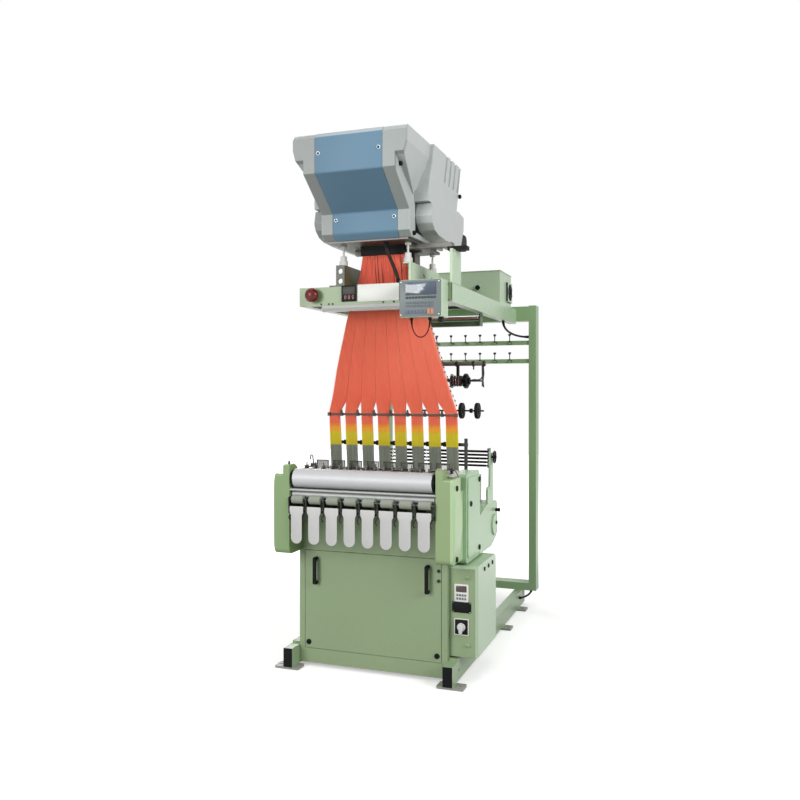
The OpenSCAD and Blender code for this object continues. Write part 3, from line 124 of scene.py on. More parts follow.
class Tree:
    """The node tree of one material, with a Principled shader at its end."""

    def __init__(self, name: str) -> None:
        """Start an empty material of that name."""
        self.material = bpy.data.materials.new(name)
        self.material.use_nodes = True
        self.tree = self.material.node_tree
        self.tree.nodes.clear()
        self.shader = self.tree.nodes.new("ShaderNodeBsdfPrincipled")
        output = self.tree.nodes.new("ShaderNodeOutputMaterial")
        self.tree.links.new(self.shader.outputs[0], output.inputs[0])

    def node(self, kind: str, settings: dict | None = None, inputs: dict | None = None,
             output: int = 0) -> Field:
        """Add any node.

        Args:
            kind: the node's type.
            settings: the node's own settings, set before its sockets.
            inputs: values or fields by socket name or number.
            output: number of the output that is wanted.

        Returns:
            That output as a field.
        """
        node = self.tree.nodes.new(kind)
        for key, value in (settings or {}).items():
            setattr(node, key, value)
        for key, value in (inputs or {}).items():
            self.feed(node.inputs[key], value)
        return Field(self, node.outputs[output])

    def feed(self, socket: bpy.types.NodeSocket, value: "Field | float | Sequence[float]") -> None:
        """Link a field to a socket, or set the socket's own value.

        Args:
            socket: the input to feed.
            value: a field, or a plain value.
        """
        if isinstance(value, Field):
            self.tree.links.new(value.socket, socket)
        else:
            socket.default_value = value

    def place(self) -> Field:
        """Object coordinates, in metres."""
        return self.node("ShaderNodeTexCoord", output=3)

    def facing(self) -> Field:
        """The face's own normal."""
        return self.node("ShaderNodeNewGeometry", output=1)

    def parts(self, vector: Field) -> tuple[Field, ...]:
        """The three numbers of a vector."""
        split = self.node("ShaderNodeSeparateXYZ", inputs={0: vector}).socket.node
        return tuple(Field(self, output) for output in split.outputs)

    def vector(self, operation: str, *values: "Field | Sequence[float]", output: int = 0) -> Field:
        """Add a Vector Math node; a single number comes out of its second output."""
        return self.node("ShaderNodeVectorMath", {"operation": operation},
                         dict(enumerate(values)), output)

    def noise(self, where: Field, scale: float, detail: float = 3.0, rough: float = 0.55) -> Field:
        """Noise round 0.5 at a scale in cycles per metre."""
        return self.node("ShaderNodeTexNoise", inputs={
            "Vector": where, "Scale": scale, "Detail": detail, "Roughness": rough})

    def streaks(self, where: Field, scales: Point, detail: float = 3.0, rough: float = 0.55
                ) -> Field:
        """Noise with a scale of its own along each axis."""
        return self.noise(self.vector("MULTIPLY", where, scales), 1.0, detail, rough)

    def blend(self, share: "Field | float", a: "Field | Color", b: "Field | Color") -> Field:
        """Colour a turned into colour b by a share from 0 to 1."""
        return self.node("ShaderNodeMix", {"data_type": "RGBA"}, {0: share, 6: a, 7: b}, output=2)

    def paint(self, color: Field, where: Field, regions: "Sequence[Region]") -> Field:
        """Lay the regions' colours over a colour: some are a piece's real colour, some painted
        light and shade.

        A point p is in a region where the largest part of |p - centre| - half size is negative.

        Args:
            color: the colour outside the regions.
            where: object coordinates.
            regions: boxes with their colours; a later one lies over an earlier one.

        Returns:
            The colour with the regions in it.
        """
        for region in regions:
            low, high = to_frame(region.low), to_frame(region.high)
            offset = self.vector("SUBTRACT", where, tuple((low + high) / 2))
            away = self.vector("ABSOLUTE", offset)
            reach = self.vector("SUBTRACT", away, tuple((high - low) / 2))
            x, y, z = self.parts(reach)
            color = self.blend(x.highest(y).highest(z).below(0.0), color, linear(region.color))
        return color

    def edges(self, radius: float) -> tuple[Field, Field]:
        """Rounded normal of every edge, and a mask that is 1 on the edges.

        Args:
            radius: radius of the rounding in metres.

        Returns:
            The rounded normal, and the mask, from the angle between it and the face.
        """
        rounded_normal = self.node("ShaderNodeBevel", {"samples": 4}, {"Radius": radius})
        same = self.vector("DOT_PRODUCT", rounded_normal, self.facing(), output=1)
        return rounded_normal, (1.0 - same).ramp(0.02, 0.25)

    def bump(self, height: Field, depth: float, normal: Field | None = None) -> Field:
        """Turn a height from 0 to 1 into a normal.

        Args:
            height: the relief.
            depth: its depth in metres.
            normal: the normal that it is added to, if not the face's own.

        Returns:
            The new normal.
        """
        inputs = {"Strength": 1.0, "Distance": depth, "Height": height}
        if normal is not None:
            inputs["Normal"] = normal
        return self.node("ShaderNodeBump", inputs=inputs)

    def finish(self, **sockets: "Field | float | Sequence[float]") -> bpy.types.Material:
        """Feed the Principled shader by socket name (_ for a space) and return the material."""
        for key, value in sockets.items():
            self.feed(self.shader.inputs[key.replace("_", " ")], value)
        return self.material


def linear(color: Rgb, share: float = 1.0, lift: float = 0.0) -> Color:
    """Turn display values from 0 to 255 into opaque linear light.

    Args:
        color: red, green and blue.
        share: factor on the light, to make the colour lighter or darker.
        lift: light added to it.

    Returns:
        Red, green, blue and a full alpha, for a colour socket.
    """
    value = np.array(color) / 255.0
    light = np.where(value <= 0.04045, value / 12.92, ((value + 0.055) / 1.055) ** 2.4)
    return (*np.minimum(light * share + lift, 1.0).tolist(), 1.0)


# --- finishes -----------------------------------------------------------------------------


@dataclass(frozen=True)
class Region:
    """A box on a CAD piece with a colour of its own, in the loom's millimetres; some boxes hold
    real colour, some painted light and shade.
    """

    low: Point
    high: Point
    color: Rgb


@dataclass(frozen=True)
class Finish:
    """A look with a name; each kind builds its own material."""

    name: str

    def material(self) -> bpy.types.Material:
        """Build the material."""
        raise NotImplementedError


@dataclass(frozen=True)
class Enamel(Finish):
    """Machine enamel: faint orange peel, thin spots on the edges and a film of lint and dust."""

    color: Rgb
    roughness: float = 0.30
    dust: float = 0.35
    edge: float = 0.0015
    gloss: float = 0.32
    regions: tuple[Region, ...] = ()

    def material(self) -> bpy.types.Material:
        """Build mottled colour, lint near the floor and on level faces, and rubbed edges."""
        tree = Tree(self.name)
        where = tree.place()
        rounded_normal, edges = tree.edges(self.edge)
        cloud = tree.noise(where, 2.5, 2.0)
        speck = tree.noise(where, 55.0, 4.0, 0.7)
        color = tree.blend(cloud, linear(self.color, 0.95), linear(self.color, 1.05))
        color = tree.paint(color, where, self.regions)
        low = 1.0 - tree.parts(where)[2].ramp(0.02, 0.45)
        level = tree.parts(tree.facing())[2].ramp(0.55, 0.95)
        film = (low * 0.35 + level * 0.30) * speck.ramp(0.35, 0.7)
        color = tree.blend(film * self.dust, color, linear(DUST))
        rubbed = edges * speck.ramp(0.5, 0.75) * 0.5
        color = tree.blend(rubbed, color, linear(self.color, 1.25))
        peel = tree.noise(where, 210.0, 2.0, 0.5)
        return tree.finish(
            Base_Color=color, Roughness=film * 0.35 + self.roughness + (cloud - 0.5) * 0.10,
            Normal=tree.bump(peel, 0.00012, rounded_normal), IOR=1.5, Specular_IOR_Level=self.gloss)


@dataclass(frozen=True)
class Moulded(Finish):
    """Moulded plastic with a fine grain, a little scuffed on its edges."""

    color: Rgb
    roughness: float = 0.42
    scuff: float = 0.25
    edge: float = 0.0012
    gloss: float = 0.35
    regions: tuple[Region, ...] = ()

    def material(self) -> bpy.types.Material:
        """Build even colour, grain as relief and lighter scuffs on the edges."""
        tree = Tree(self.name)
        where = tree.place()
        rounded_normal, edges = tree.edges(self.edge)
        cloud = tree.noise(where, 9.0, 3.0)
        grain = tree.noise(where, 900.0, 1.0)
        color = tree.blend(cloud, linear(self.color, 0.93), linear(self.color, 1.06))
        color = tree.paint(color, where, self.regions)
        color = tree.blend(edges * cloud.ramp(0.45, 0.65) * self.scuff, color,
                           linear(self.color, 1.2, 0.03))
        return tree.finish(
            Base_Color=color, Roughness=(cloud - 0.5) * 0.12 + self.roughness,
            Normal=tree.bump(grain, 0.00006, rounded_normal), IOR=1.46,
            Specular_IOR_Level=self.gloss)


class Lay(Enum):
    """Way in which a metal was worked, as the scales of its marks along x, y and z."""

    TURNED = (900.0, 20.0, 20.0)
    BLACKED = (260.0, 260.0, 260.0)


@dataclass(frozen=True)
class Metal(Finish):
    """Machined or blacked steel with tool marks and a few oily stains."""

    color: Rgb
    roughness: float
    lay: Lay
    stain: float = 0.25
    metallic: float = 1.0

    def material(self) -> bpy.types.Material:
        """Build fine marks across the lay, stained by a slow noise."""
        tree = Tree(self.name)
        where = tree.place()
        rounded_normal, edges = tree.edges(0.0008)
        marks = tree.streaks(where, self.lay.value, 3.0, 0.6)
        stained = tree.noise(where, 14.0, 4.0, 0.65).ramp(0.5, 0.72) * self.stain
        color = tree.blend(stained, linear(self.color), linear(self.color, 0.55))
        color = tree.blend(edges * 0.4, color, linear(self.color, 1.3, 0.05))
        rough = (marks - 0.5) * 0.16 + self.roughness + stained * 0.2
        return tree.finish(Base_Color=color, Metallic=self.metallic, Roughness=rough,
                           Normal=tree.bump(marks, 0.00003, rounded_normal))


@dataclass(frozen=True)
class Rubber(Finish):
    """Matt rubber with a ground surface."""

    color: Rgb

    def material(self) -> bpy.types.Material:
        """Build dull colour with chalky patches."""
        tree = Tree(self.name)
        where = tree.place()
        chalk = tree.noise(where, 40.0, 4.0, 0.6)
        ground = tree.noise(where, 700.0, 2.0)
        color = tree.blend(chalk, linear(self.color, 0.88), linear(self.color, 1.15))
        return tree.finish(Base_Color=color, Roughness=0.75, Specular_IOR_Level=0.2,
                           Normal=tree.bump(ground, 0.00008, tree.edges(0.0008)[0]))


@dataclass(frozen=True)
class Threads(Finish):
    """Harness threads: grey springs, yellow sleeves and orange-red cord, by height in metres."""

    spring_top: float = 1.180
    sleeve_top: float = 1.258
    cord_start: float = 1.298

    def material(self) -> bpy.types.Material:
        """Build the colours by height, broken up thread by thread."""
        tree = Tree(self.name)
        where = tree.place()
        height = tree.parts(where)[2]
        thread = tree.streaks(where, (420.0, 60.0, 4.0), 2.0)
        ragged = height + (tree.noise(where, 60.0, 2.0) - 0.5) * 0.012
        spring, sleeve, amber, low_cord, high_cord = (
            tree.blend(thread, linear(dark), linear(light)) for dark, light in (
                ((74, 78, 72), (176, 182, 166)), ((208, 188, 18), (238, 222, 56)),
                ((236, 152, 24), (252, 192, 66)), ((238, 96, 68), (255, 152, 118)),
                ((250, 104, 76), (255, 164, 132))))
        cord = tree.blend(height.ramp(1.36, 1.62), low_cord, high_cord)
        # Painted shade near the collar: dark streaks between the cords where they crowd together.
        shade_streaks = tree.streaks(where, (150.0, 8.0, 2.0), 1.0).ramp(0.56, 0.74)
        neck = tree.blend(shade_streaks, linear((240, 116, 92)), linear((112, 50, 40)))
        cord = tree.blend(height.ramp(1.99, 2.07), cord, neck)
        color = spring
        for level, soft, above in ((self.spring_top, 0.004, sleeve),
                                   (self.sleeve_top, 0.012, amber),
                                   (self.cord_start, 0.010, cord)):
            color = tree.blend(ragged.ramp(level - soft, level + soft), color, above)
        shine = tree.streaks(where, (300.0, 60.0, 30.0))
        return tree.finish(Base_Color=color, Roughness=(shine - 0.5) * 0.2 + 0.62,
                           Normal=tree.bump(thread, 0.0004))


@dataclass(frozen=True)
class Lit(Finish):
    """A surface that gives off its own light under a dark clear cover."""

    color: Rgb
    strength: float

    def material(self) -> bpy.types.Material:
        """Build a glossy cover over a slightly uneven glow."""
        tree = Tree(self.name)
        cloud = tree.noise(tree.place(), 60.0, 2.0)
        glow = tree.blend(cloud, linear(self.color, 0.9), linear(self.color, 1.1))
        return tree.finish(Base_Color=(0.02, 0.02, 0.02, 1.0), Roughness=0.25, Emission_Color=glow,
                           Emission_Strength=self.strength)


@dataclass(frozen=True)
class Screen(Finish):
    """The terminal's bare liquid crystal screen: dark blue, with pale reflections."""

    low: Point
    high: Point

    def material(self) -> bpy.types.Material:
        """Build a vertical fade with soft cloudy light in it."""
        tree = Tree(self.name)
        where = tree.place()
        bottom, top = float(to_frame(self.low)[2]), float(to_frame(self.high)[2])
        cloud = tree.streaks(where, (16.0, 4.0, 30.0), 3.0, 0.6)
        color = tree.blend(tree.parts(where)[2].ramp(bottom, top), linear((58, 70, 86)),
                           linear((76, 90, 108)))
        color = tree.blend(cloud.ramp(0.54, 0.74) * 0.75, color, linear((168, 182, 196)))
        return tree.finish(Base_Color=color, Roughness=0.12, Coat_Weight=0.6)


@dataclass
class Palette:
    """Every finish of the loom, built once."""

    made: dict[str, bpy.types.Material] = field(default_factory=dict)

    def get(self, finish: Finish) -> bpy.types.Material:
        """The material of a finish, built on first use."""
        if finish.name not in self.made:
            self.made[finish.name] = finish.material()
        return self.made[finish.name]


DUST: Rgb = (176, 172, 158)
LEFT_SHADE, RIGHT_SHADE, CHEEK_SHADE = (142, 147, 145), (154, 161, 158), (150, 154, 152)
SAND: Rgb = (112, 102, 94)

GREEN = Enamel("machine_green_enamel", (141, 161, 124))
LIGHT_GREEN = Enamel("light_green_enamel", (178, 202, 170), 0.28)
CASING_GREEN = Enamel("casing_enamel", (164, 195, 156))
POST_GREEN = Enamel("post_green_enamel", (142, 174, 127), 0.32, regions=(
    Region((-700, 1600, 100), (700, 1850, 260), (142, 174, 131)),))
# Painted shade: the left housing takes a darker copy of the right housing's enamel.
HOUSING_LEFT = Enamel("left_housing_enamel", (132, 158, 110))
# Painted light: the right housing's outer side wall is lighter, as if lit from the right.
HOUSING_RIGHT = Enamel("right_housing_enamel", (143, 164, 119), regions=(
    Region((478, -80, 600), (520, 140, 1120), (176, 205, 158)),))
BASE_GREEN = Enamel("base_rail_enamel", (141, 166, 130), regions=(
    Region((-700, -50, -5), (700, 1900, 12.1), (146, 147, 140)),))
# Both regions are painted shade: the left bracket is darker, and its front flange is darker still.
BRACKET = Enamel("head_bracket_enamel", (180, 200, 170), regions=(
    Region((-260, 100, 2049), (-150, 645, 2168), (80, 88, 63)),
    Region((-300, 100, 2049), (-150, 124, 2168), (58, 66, 44))))
HEAD_GREY = Moulded("head_grey_shell", (184, 190, 188), 0.34, edge=0.004, regions=(
    Region((0, -300, 2270), (242.5, 70, 2776), RIGHT_SHADE),
    Region((-243, -300, 2270), (0, 70, 2776), LEFT_SHADE),
    Region((242, -400, 2560), (700, -195, 2776), RIGHT_SHADE),
    Region((-700, -400, 2560), (-242, -195, 2776), LEFT_SHADE),
    Region((-332, 60, 2270), (-246, 330, 2461), CHEEK_SHADE),
    Region((-321, 60, 2461), (-246, 151, 2507), CHEEK_SHADE)))
# The first region is the grey band along the top edge. The second is painted shade on the panel's
# downward-facing slope.
HEAD_BLUE = Enamel("head_blue_panel", (106, 138, 160), 0.5, 0.12, 0.002, 0.2, regions=(
    Region((-700, -600, 2757), (700, 600, 2800), (166, 176, 180)),
    Region((-700, -600, 2416), (700, 600, 2575), (93, 124, 144))))
SIGN = Enamel("white_sign_plate", (222, 223, 217), dust=0.1)
BEZEL_GREY = Enamel("terminal_bezel", (115, 125, 125), 0.4, 0.15, 0.001)
LAMP_GREY = Enamel("lamp_housing", (176, 178, 174), 0.4)
DARK_GREEN = Enamel("dark_green_enamel", (84, 104, 78), 0.4)
SAND_GREY = Enamel("sand_grey_bar", SAND, 0.42)
FEEDER_GREEN = Enamel("feeder_enamel", LIGHT_GREEN.color, regions=(
    Region((73, 630, 1630), (485, 670, 1660), SAND),
    Region((-60, 600, 990), (-5, 700, 1400), (40, 40, 40)),
    Region((270, 600, 1490), (470, 700, 1635), (30, 29, 29))))
RACK_DARK = Enamel("rack_enamel", (40, 40, 41), regions=(
    Region((493.5, 580, 840), (510, 765, 1140), LIGHT_GREEN.color),))
BLACK = Moulded("black_plastic", (13, 15, 15), 0.5, gloss=0.12)
WHITE = Moulded("white_plastic", (214, 215, 212), 0.38, 0.1)
LEVER_WHITE = Moulded("lever_white_plastic", (198, 198, 196), 0.44, 0.1)
SHEATH = Moulded("cable_sheath", (16, 16, 16), 0.5, gloss=0.2)
BROWN_SHEATH = Moulded("brown_cable_sheath", (36, 27, 22), 0.55, gloss=0.2)
RED = Moulded("red_gloss_plastic", (98, 22, 18), 0.26, 0.1)
KEY_GREY = Moulded("terminal_keys_grey", (104, 112, 120), 0.5)
KEY_DARK = Moulded("terminal_keys_dark", (62, 68, 76), 0.5)
KEY_VIOLET = Moulded("terminal_keys_violet", (104, 110, 132), 0.5)
KEY_ORANGE = Moulded("terminal_keys_orange", (206, 136, 98), 0.5)
LAMP = Moulded("lamp_diffuser", (228, 230, 226), 0.3, 0.0)
GLASS_GREY = Moulded("grey_window", (66, 66, 62), 0.3, 0.0, gloss=0.12)
BLACKED = Metal("blacked_steel", (34, 33, 33), 0.5, Lay.BLACKED, metallic=0.4)
CUP_STEEL = Metal("latch_cup_steel", (208, 212, 216), 0.36, Lay.BLACKED, metallic=0.6)
OXIDE = Metal("brown_oxide_steel", (66, 48, 44), 0.5, Lay.BLACKED, metallic=0.5)
DARK_STEEL = Metal("dark_machine_steel", (88, 86, 82), 0.42, Lay.BLACKED, metallic=0.7)
REED_STEEL = Metal("reed_steel", (56, 52, 48), 0.45, Lay.BLACKED, metallic=0.4)
BRONZE = Metal("bronze", (132, 96, 66), 0.42, Lay.BLACKED, metallic=0.8)
BRIGHT = Metal("bright_steel", (200, 202, 204), 0.22, Lay.TURNED)
SLEEVE = Metal("roller_sleeve", (190, 191, 193), 0.5, Lay.TURNED, 0.08, 0.14)
DRIVE_STEEL = Metal("drive_bar_steel", (160, 163, 162), 0.5, Lay.TURNED, 0.12, 0.3)
GREY_RUBBER = Rubber("grey_green_rubber", (146, 152, 138))
BLACK_RUBBER = Rubber("black_rubber", (20, 20, 20))
THREADS = Threads("harness_threads")
DIGITS = Lit("red_digits", (196, 48, 40), 0.5)
WINDOW_RED = Lit("red_window", (84, 24, 22), 0.3)

PALETTE = Palette()


# --- shapes -------------------------------------------------------------------------------


class Axis(Enum):
    """Direction of a profile's extrusion or of a round part's axis."""

    X = 0
    Y = 1
    Z = 2


def turned(points: np.ndarray, axis: Axis) -> np.ndarray:
    """Put (across, up, along) columns on the loom's axes.

    Args:
        points: array whose last axis holds two flat lengths and the length along the axis.
        axis: direction of the third column.

    Returns:
        The points as x, y, z: a flat (y, z) for X, a flat (x, z) for Y and a flat (x, y) for Z.
    """
    u, v, w = np.moveaxis(points, -1, 0)
    order = {Axis.X: (w, u, v), Axis.Y: (u, w, v), Axis.Z: (u, v, w)}[axis]
    return np.stack(order, axis=-1)


def tube(points: np.ndarray) -> Shape:
    """A closed surface through rings of points p(u, v), with one quad between neighbours.

    Args:
        points: array of shape (rings, points of a ring, 3).

    Returns:
        The vertices, and two blocks of faces: the quads, and one face for each end ring.
    """
    rows, columns = points.shape[:2]
    i, j = np.arange(rows - 1)[:, None], np.arange(columns)[None, :]
    j2 = (j + 1) % columns
    quads = np.stack([i * columns + j, i * columns + j2, (i + 1) * columns + j2,
                      (i + 1) * columns + j], axis=-1)
    ring = np.arange(columns)
    caps = np.stack([ring[::-1], ring + (rows - 1) * columns])
    return points.reshape(-1, 3), [quads.reshape(-1, 4), caps]


def joined(shapes: Iterable[Shape]) -> Shape:
    """Several shapes as one: the faces of each count on from the vertices before it.

    Args:
        shapes: the shapes, in order.

    Returns:
        One shape.
    """
    points, faces, count = [], [], 0
    for some, theirs in shapes:
        points.append(some)
        faces += [block + count for block in theirs]
        count += len(some)
    return np.concatenate(points), faces


def copies(shape: Shape, offsets: Iterable) -> Shape:
    """The same shape at several places: its vertices are added to every offset."""
    return joined((shape[0] + np.asarray(move, float), shape[1]) for move in offsets)


def mirrored(shape: Shape) -> Shape:
    """The shape on the other side of the loom's middle plane."""
    return shape[0] * np.array([-1.0, 1.0, 1.0]), shape[1]


def pair(shape: Shape) -> Shape:
    """The shape and its mirror image."""
    return joined((shape, mirrored(shape)))


def places(*steps: Sequence[float]) -> list[Point]:
    """Every point whose x, y and z are taken from three lists, x slowest and z fastest."""
    return [(x, y, z) for x in steps[0] for y in steps[1] for z in steps[2]]


def revolve(profile: Sequence, centres: Sequence, axis: Axis, turns: int = 40) -> Shape:
    """A round part: radius r(s) and length l(s) of a profile carried round an axis.

    The point at angle a is centre + r (cos a, sin a) across the axis and l along it.

    Args:
        profile: pairs of radius and length along the axis.
        centres: one point or several points on the axis from which the lengths count.
        axis: direction of the axis.
        turns: number of facets round it.

    Returns:
        The closed shape, once for each centre.
    """
    rows = np.asarray(profile, float)
    angle = np.linspace(0, 2 * np.pi, turns, endpoint=False)
    r = np.maximum(rows[:, :1], NO_RADIUS)
    along = np.broadcast_to(rows[:, 1:], (len(rows), turns))
    points = turned(np.stack([r * np.cos(angle), r * np.sin(angle), along], axis=-1), axis)
    return copies(tube(points), np.atleast_2d(np.asarray(centres, float)))


def inset(outline: np.ndarray, amount: float) -> np.ndarray:
    """Move a closed outline inwards: each corner goes along the sum of its sides' normals.

    Args:
        outline: corners of shape (n, 2).
        amount: distance between the old and the new sides.

    Returns:
        The new corners.
    """
    after = np.roll(outline, -1, axis=0) - outline
    after /= np.linalg.norm(after, axis=1, keepdims=True)
    before = np.roll(after, 1, axis=0)
    x, y = outline.T
    turn = np.sign(np.sum(x * np.roll(y, -1) - y * np.roll(x, -1)))
    total = turn * (before + after) @ np.array([[0.0, 1.0], [-1.0, 0.0]])
    scale = amount / np.maximum(0.5 * np.sum(total * total, axis=1, keepdims=True), 0.35)
    return outline + total * scale


def prism(outline: Sequence, low: float, high: float, axis: Axis, bevel: float = 0.0,
          steps: int = 2) -> Shape:
    """A flat outline carried along an axis, with rounded edges at both ends.

    A ring of an end lies bevel (1 - cos t) inwards and bevel (1 - sin t) from the end's face.

    Args:
        outline: corners of the profile.
        low: where it starts along the axis.
        high: where it ends.
        axis: direction of the extrusion.
        bevel: radius of the end edges.
        steps: rings in each rounded edge.

    Returns:
        The closed shape.
    """
    flat = np.asarray(outline, float)
    levels = [(0.0, low), (0.0, high)]
    if bevel > 0:
        t = np.linspace(np.pi / 2, 0, steps + 1)
        levels = list(zip(bevel * (1 - np.cos(t)), low + bevel * (1 - np.sin(t))))
        levels += [(a, high + low - b) for a, b in levels[::-1]]
    rings = [np.column_stack([inset(flat, a) if a > 1e-9 else flat, np.full(len(flat), z)])
             for a, z in levels]
    return tube(turned(np.array(rings), axis))


def rounded(x0: float, y0: float, x1: float, y1: float, r: float, n: int = 4) -> np.ndarray:
    """Outline of a rectangle with round corners, each a quarter circle of n chords."""
    corners = ((x1 - r, y1 - r), (x0 + r, y1 - r), (x0 + r, y0 + r), (x1 - r, y0 + r))
    return np.concatenate([arc(corner, r, 90 * k, 90 * k + 90, n)
                           for k, corner in enumerate(corners)])


def brick(low: Point, high: Point, r: float = 1.0) -> Shape:
    """An upright block with rounded edges between two corners."""
    return prism(rounded(low[0], low[1], high[0], high[1], r, 3), low[2], high[2], Axis.Z, r)


def plate(x0: float, z0: float, x1: float, z1: float, y0: float, y1: float, r: float,
          bevel: float) -> Shape:
    """A plate across the y axis, from y0 to y1, with corners of radius r and bevelled faces."""
    return prism(rounded(x0, z0, x1, z1, r), y0, y1, Axis.Y, bevel)


def sweep(path: Sequence, radius: "float | np.ndarray", sides: int, up: Point) -> Shape:
    """A round bar along a path: p(s) + r (cos a n(s) + sin a b(s)).

    The normal n is the fixed direction up made square to the path, and b = t x n.

    Args:
        path: points of the centre line.
        radius: one radius, or one for each point.
        sides: facets round the bar.
        up: direction that the path never takes.

    Returns:
        The closed shape.
    """
    line = np.asarray(path, float)
    tangent = np.gradient(line, axis=0)
    tangent /= np.linalg.norm(tangent, axis=1, keepdims=True)
    normal = np.asarray(up) - tangent * (tangent @ np.asarray(up))[:, None]
    normal /= np.linalg.norm(normal, axis=1, keepdims=True)
    side = np.cross(tangent, normal)
    angle = np.linspace(0, 2 * np.pi, sides, endpoint=False)[None, :, None]
    r = np.broadcast_to(np.asarray(radius, float), (len(line),))[:, None, None]
    return tube(line[:, None] + r * (np.cos(angle) * normal[:, None]
                                     + np.sin(angle) * side[:, None]))


def arc(centre: Sequence, radius: float, start: float, end: float, n: int = 8) -> np.ndarray:
    """Points of a flat arc between two angles in degrees."""
    t = np.radians(np.linspace(start, end, n + 1))
    return np.stack([centre[0] + radius * np.cos(t), centre[1] + radius * np.sin(t)], axis=1)


def bezier(a: Point, b: Point, c: Point, d: Point, n: int) -> np.ndarray:
    """A cubic curve: p(t) = (1-t)^3 a + 3 (1-t)^2 t b + 3 (1-t) t^2 c + t^3 d.

    Args:
        a: start.
        b: point that the curve leaves the start towards.
        c: point that it reaches the end from.
        d: end.
        n: number of steps.

    Returns:
        The curve's n + 1 points.
    """
    t = np.linspace(0, 1, n + 1)[:, None]
    a, b, c, d = (np.asarray(p, float) for p in (a, b, c, d))
    return (1 - t) ** 3 * a + 3 * (1 - t) ** 2 * t * b + 3 * (1 - t) * t ** 2 * c + t ** 3 * d


def screws(centres: Sequence, axis: Axis, radius: float, height: float) -> Shape:
    """Heads of hexagon socket screws: a cylinder with a round edge and a recess.

    Args:
        centres: one place or several.
        axis: direction of the screws.
        radius: radius of a head.
        height: its height, negative where it stands against the axis.

    Returns:
        The closed shape.
    """
    r, h = radius, height
    profile = [(r, 0), (r, 0.8 * h), (0.85 * r, h), (0.5 * r, h), (0.5 * r, 0.45 * h),
               (0, 0.45 * h)]
    return revolve(profile, centres, axis, 18)


def weld(start: Point, end: Point, radius: float, ripple: float, waves: int, n: int) -> Shape:
    """A weld bead along p(t) = start + t (end - start), of radius r + ripple sin(2 pi waves t).

    Args:
        start: first point of the run.
        end: last point of the run.
        radius: mean radius r.
        ripple: how far the radius goes up and down.
        waves: ripples in the run.
        n: rings in the run.

    Returns:
        The closed shape.
    """
    t = np.linspace(0, 1, n)
    a, b = np.asarray(start, float), np.asarray(end, float)
    return sweep(a + t[:, None] * (b - a), radius + ripple * np.sin(2 * np.pi * waves * t), 8,
                 UP)


# --- pieces -------------------------------------------------------------------------------


def make(name: str, finish: Finish, slot: str, *shapes: Shape, body: str = "frame",
         replaces: Sequence[str] = ()) -> bpy.types.Object:
    """Make one piece of the loom.

    Args:
        name: the piece's name.
        finish: finish of the whole piece.
        slot: name of a material slot of the record; not used.
        shapes: what it is made of.
        body: CAD body that it rides on.
        replaces: CAD nodes that it stands for.

    Returns:
        The finished piece, at the origin, with its place in its mesh.
    """
    points, faces = joined(shapes)
    mesh = bpy.data.meshes.new(name)
    mesh.from_pydata(to_frame(points), [], [face for block in faces for face in block.tolist()])
    work = bmesh.new()
    work.from_mesh(mesh)
    bmesh.ops.recalc_face_normals(work, faces=work.faces)
    work.to_mesh(mesh)
    work.free()
    mesh.shade_smooth()
    mesh.set_sharp_from_angle(angle=np.radians(SHARP_DEGREES))
    piece = bpy.data.objects.new(name, mesh)
    bpy.context.scene.collection.objects.link(piece)
    mesh.materials.append(PALETTE.get(finish))
    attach(piece, body)
    if replaces:
        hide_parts(*replaces)
    LOG.info("%s: %d faces on %s", name, len(mesh.polygons), body)
    return piece


def dress(finish: Finish, *nodes: str) -> None:
    """Give a finish to CAD nodes, in every one of their material slots.

    Args:
        finish: the finish.
        nodes: names of the nodes.
    """
    material = PALETTE.get(finish)
    for name in nodes:
        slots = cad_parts[name].data.materials
        if not slots:
            slots.append(material)
        for k in range(len(slots)):
            slots[k] = material


# --- the tapes' common measures -----------------------------------------------------------

TAPES = 8
PITCH = 100.0
TAPE_X = (np.arange(TAPES) - (TAPES - 1) / 2) * PITCH
GAP_X = TAPE_X[:-1] + PITCH / 2
TAPE_SPOTS = places(TAPE_X, (0,), (0,))


# --- sub-assemblies -----------------------------------------------------------------------


@dataclass
class BaseFrame:
    """The two base rails on their foot plates, and the rear stand with its yarn guides."""

    foot_y: tuple[float, ...] = (40, 1135, 1605)
    foot_top: float = 12
    rail_x: tuple[float, float] = (420, 470)
    run: float = 38  # half the length of a weld
    bead: float = 3.2
    guide_y: float = 1704
    guide_z: tuple[float, float] = (1696, 1823)

    def build(self) -> None:
        """Dress the CAD pieces and lay the weld beads and guide eyes."""
        dress(BASE_GREEN, "base_rails")
        dress(POST_GREEN, "rear_stand")
        dress(BLACK, "rail_caps")
        z = self.foot_top
        make("foot_welds", BASE_GREEN, "machine_green", *(
            pair(weld((x, y - self.run, z), (x, y + self.run, z), 0.9 * self.bead,
                      0.18 * self.bead, 11, 40)) for y in self.foot_y for x in self.rail_x))
        self.guides()

    def guides(self) -> None:
        """Yarn guides: stem, trumpet and porcelain eye, turned, on green clamp blocks."""
        spots = places([x * 1.06 + 14 for x in TAPE_X], [self.guide_y], self.guide_z)
        stem = [(5.2, 0), (5.2, 4), (3.4, 7), (3.2, 38), (4.5, 44), (9, 50), (11.3, 53),
                (11.6, 56), (9.8, 58), (7.2, 58.2)]
        eye = [(7.4, 57.2), (7.4, 59.4), (6.4, 60.6), (4.4, 60), (3.6, 57.5)]
        nut = revolve([(4.6, -4), (4.6, -8), (3.8, -8.8), (0, -8.8)], (16, 0, -2), Axis.Y, 6)
        make("yarn_guide_stems", BLACKED, "black_plastic", revolve(stem, spots, Axis.Z, 20),
             copies(nut, spots), replaces=["yarn_guides"])
        make("yarn_guide_clamps", POST_GREEN, "black_plastic",
             copies(brick((-9, -7, -12), (12, 5.6, 0), 1.5), spots),
             copies(brick((11.5, -5, -12), (20, 5.6, 8), 1.5), spots))
        make("yarn_guide_eyes", WHITE, "white_plastic", revolve(eye, spots, Axis.Z, 20))


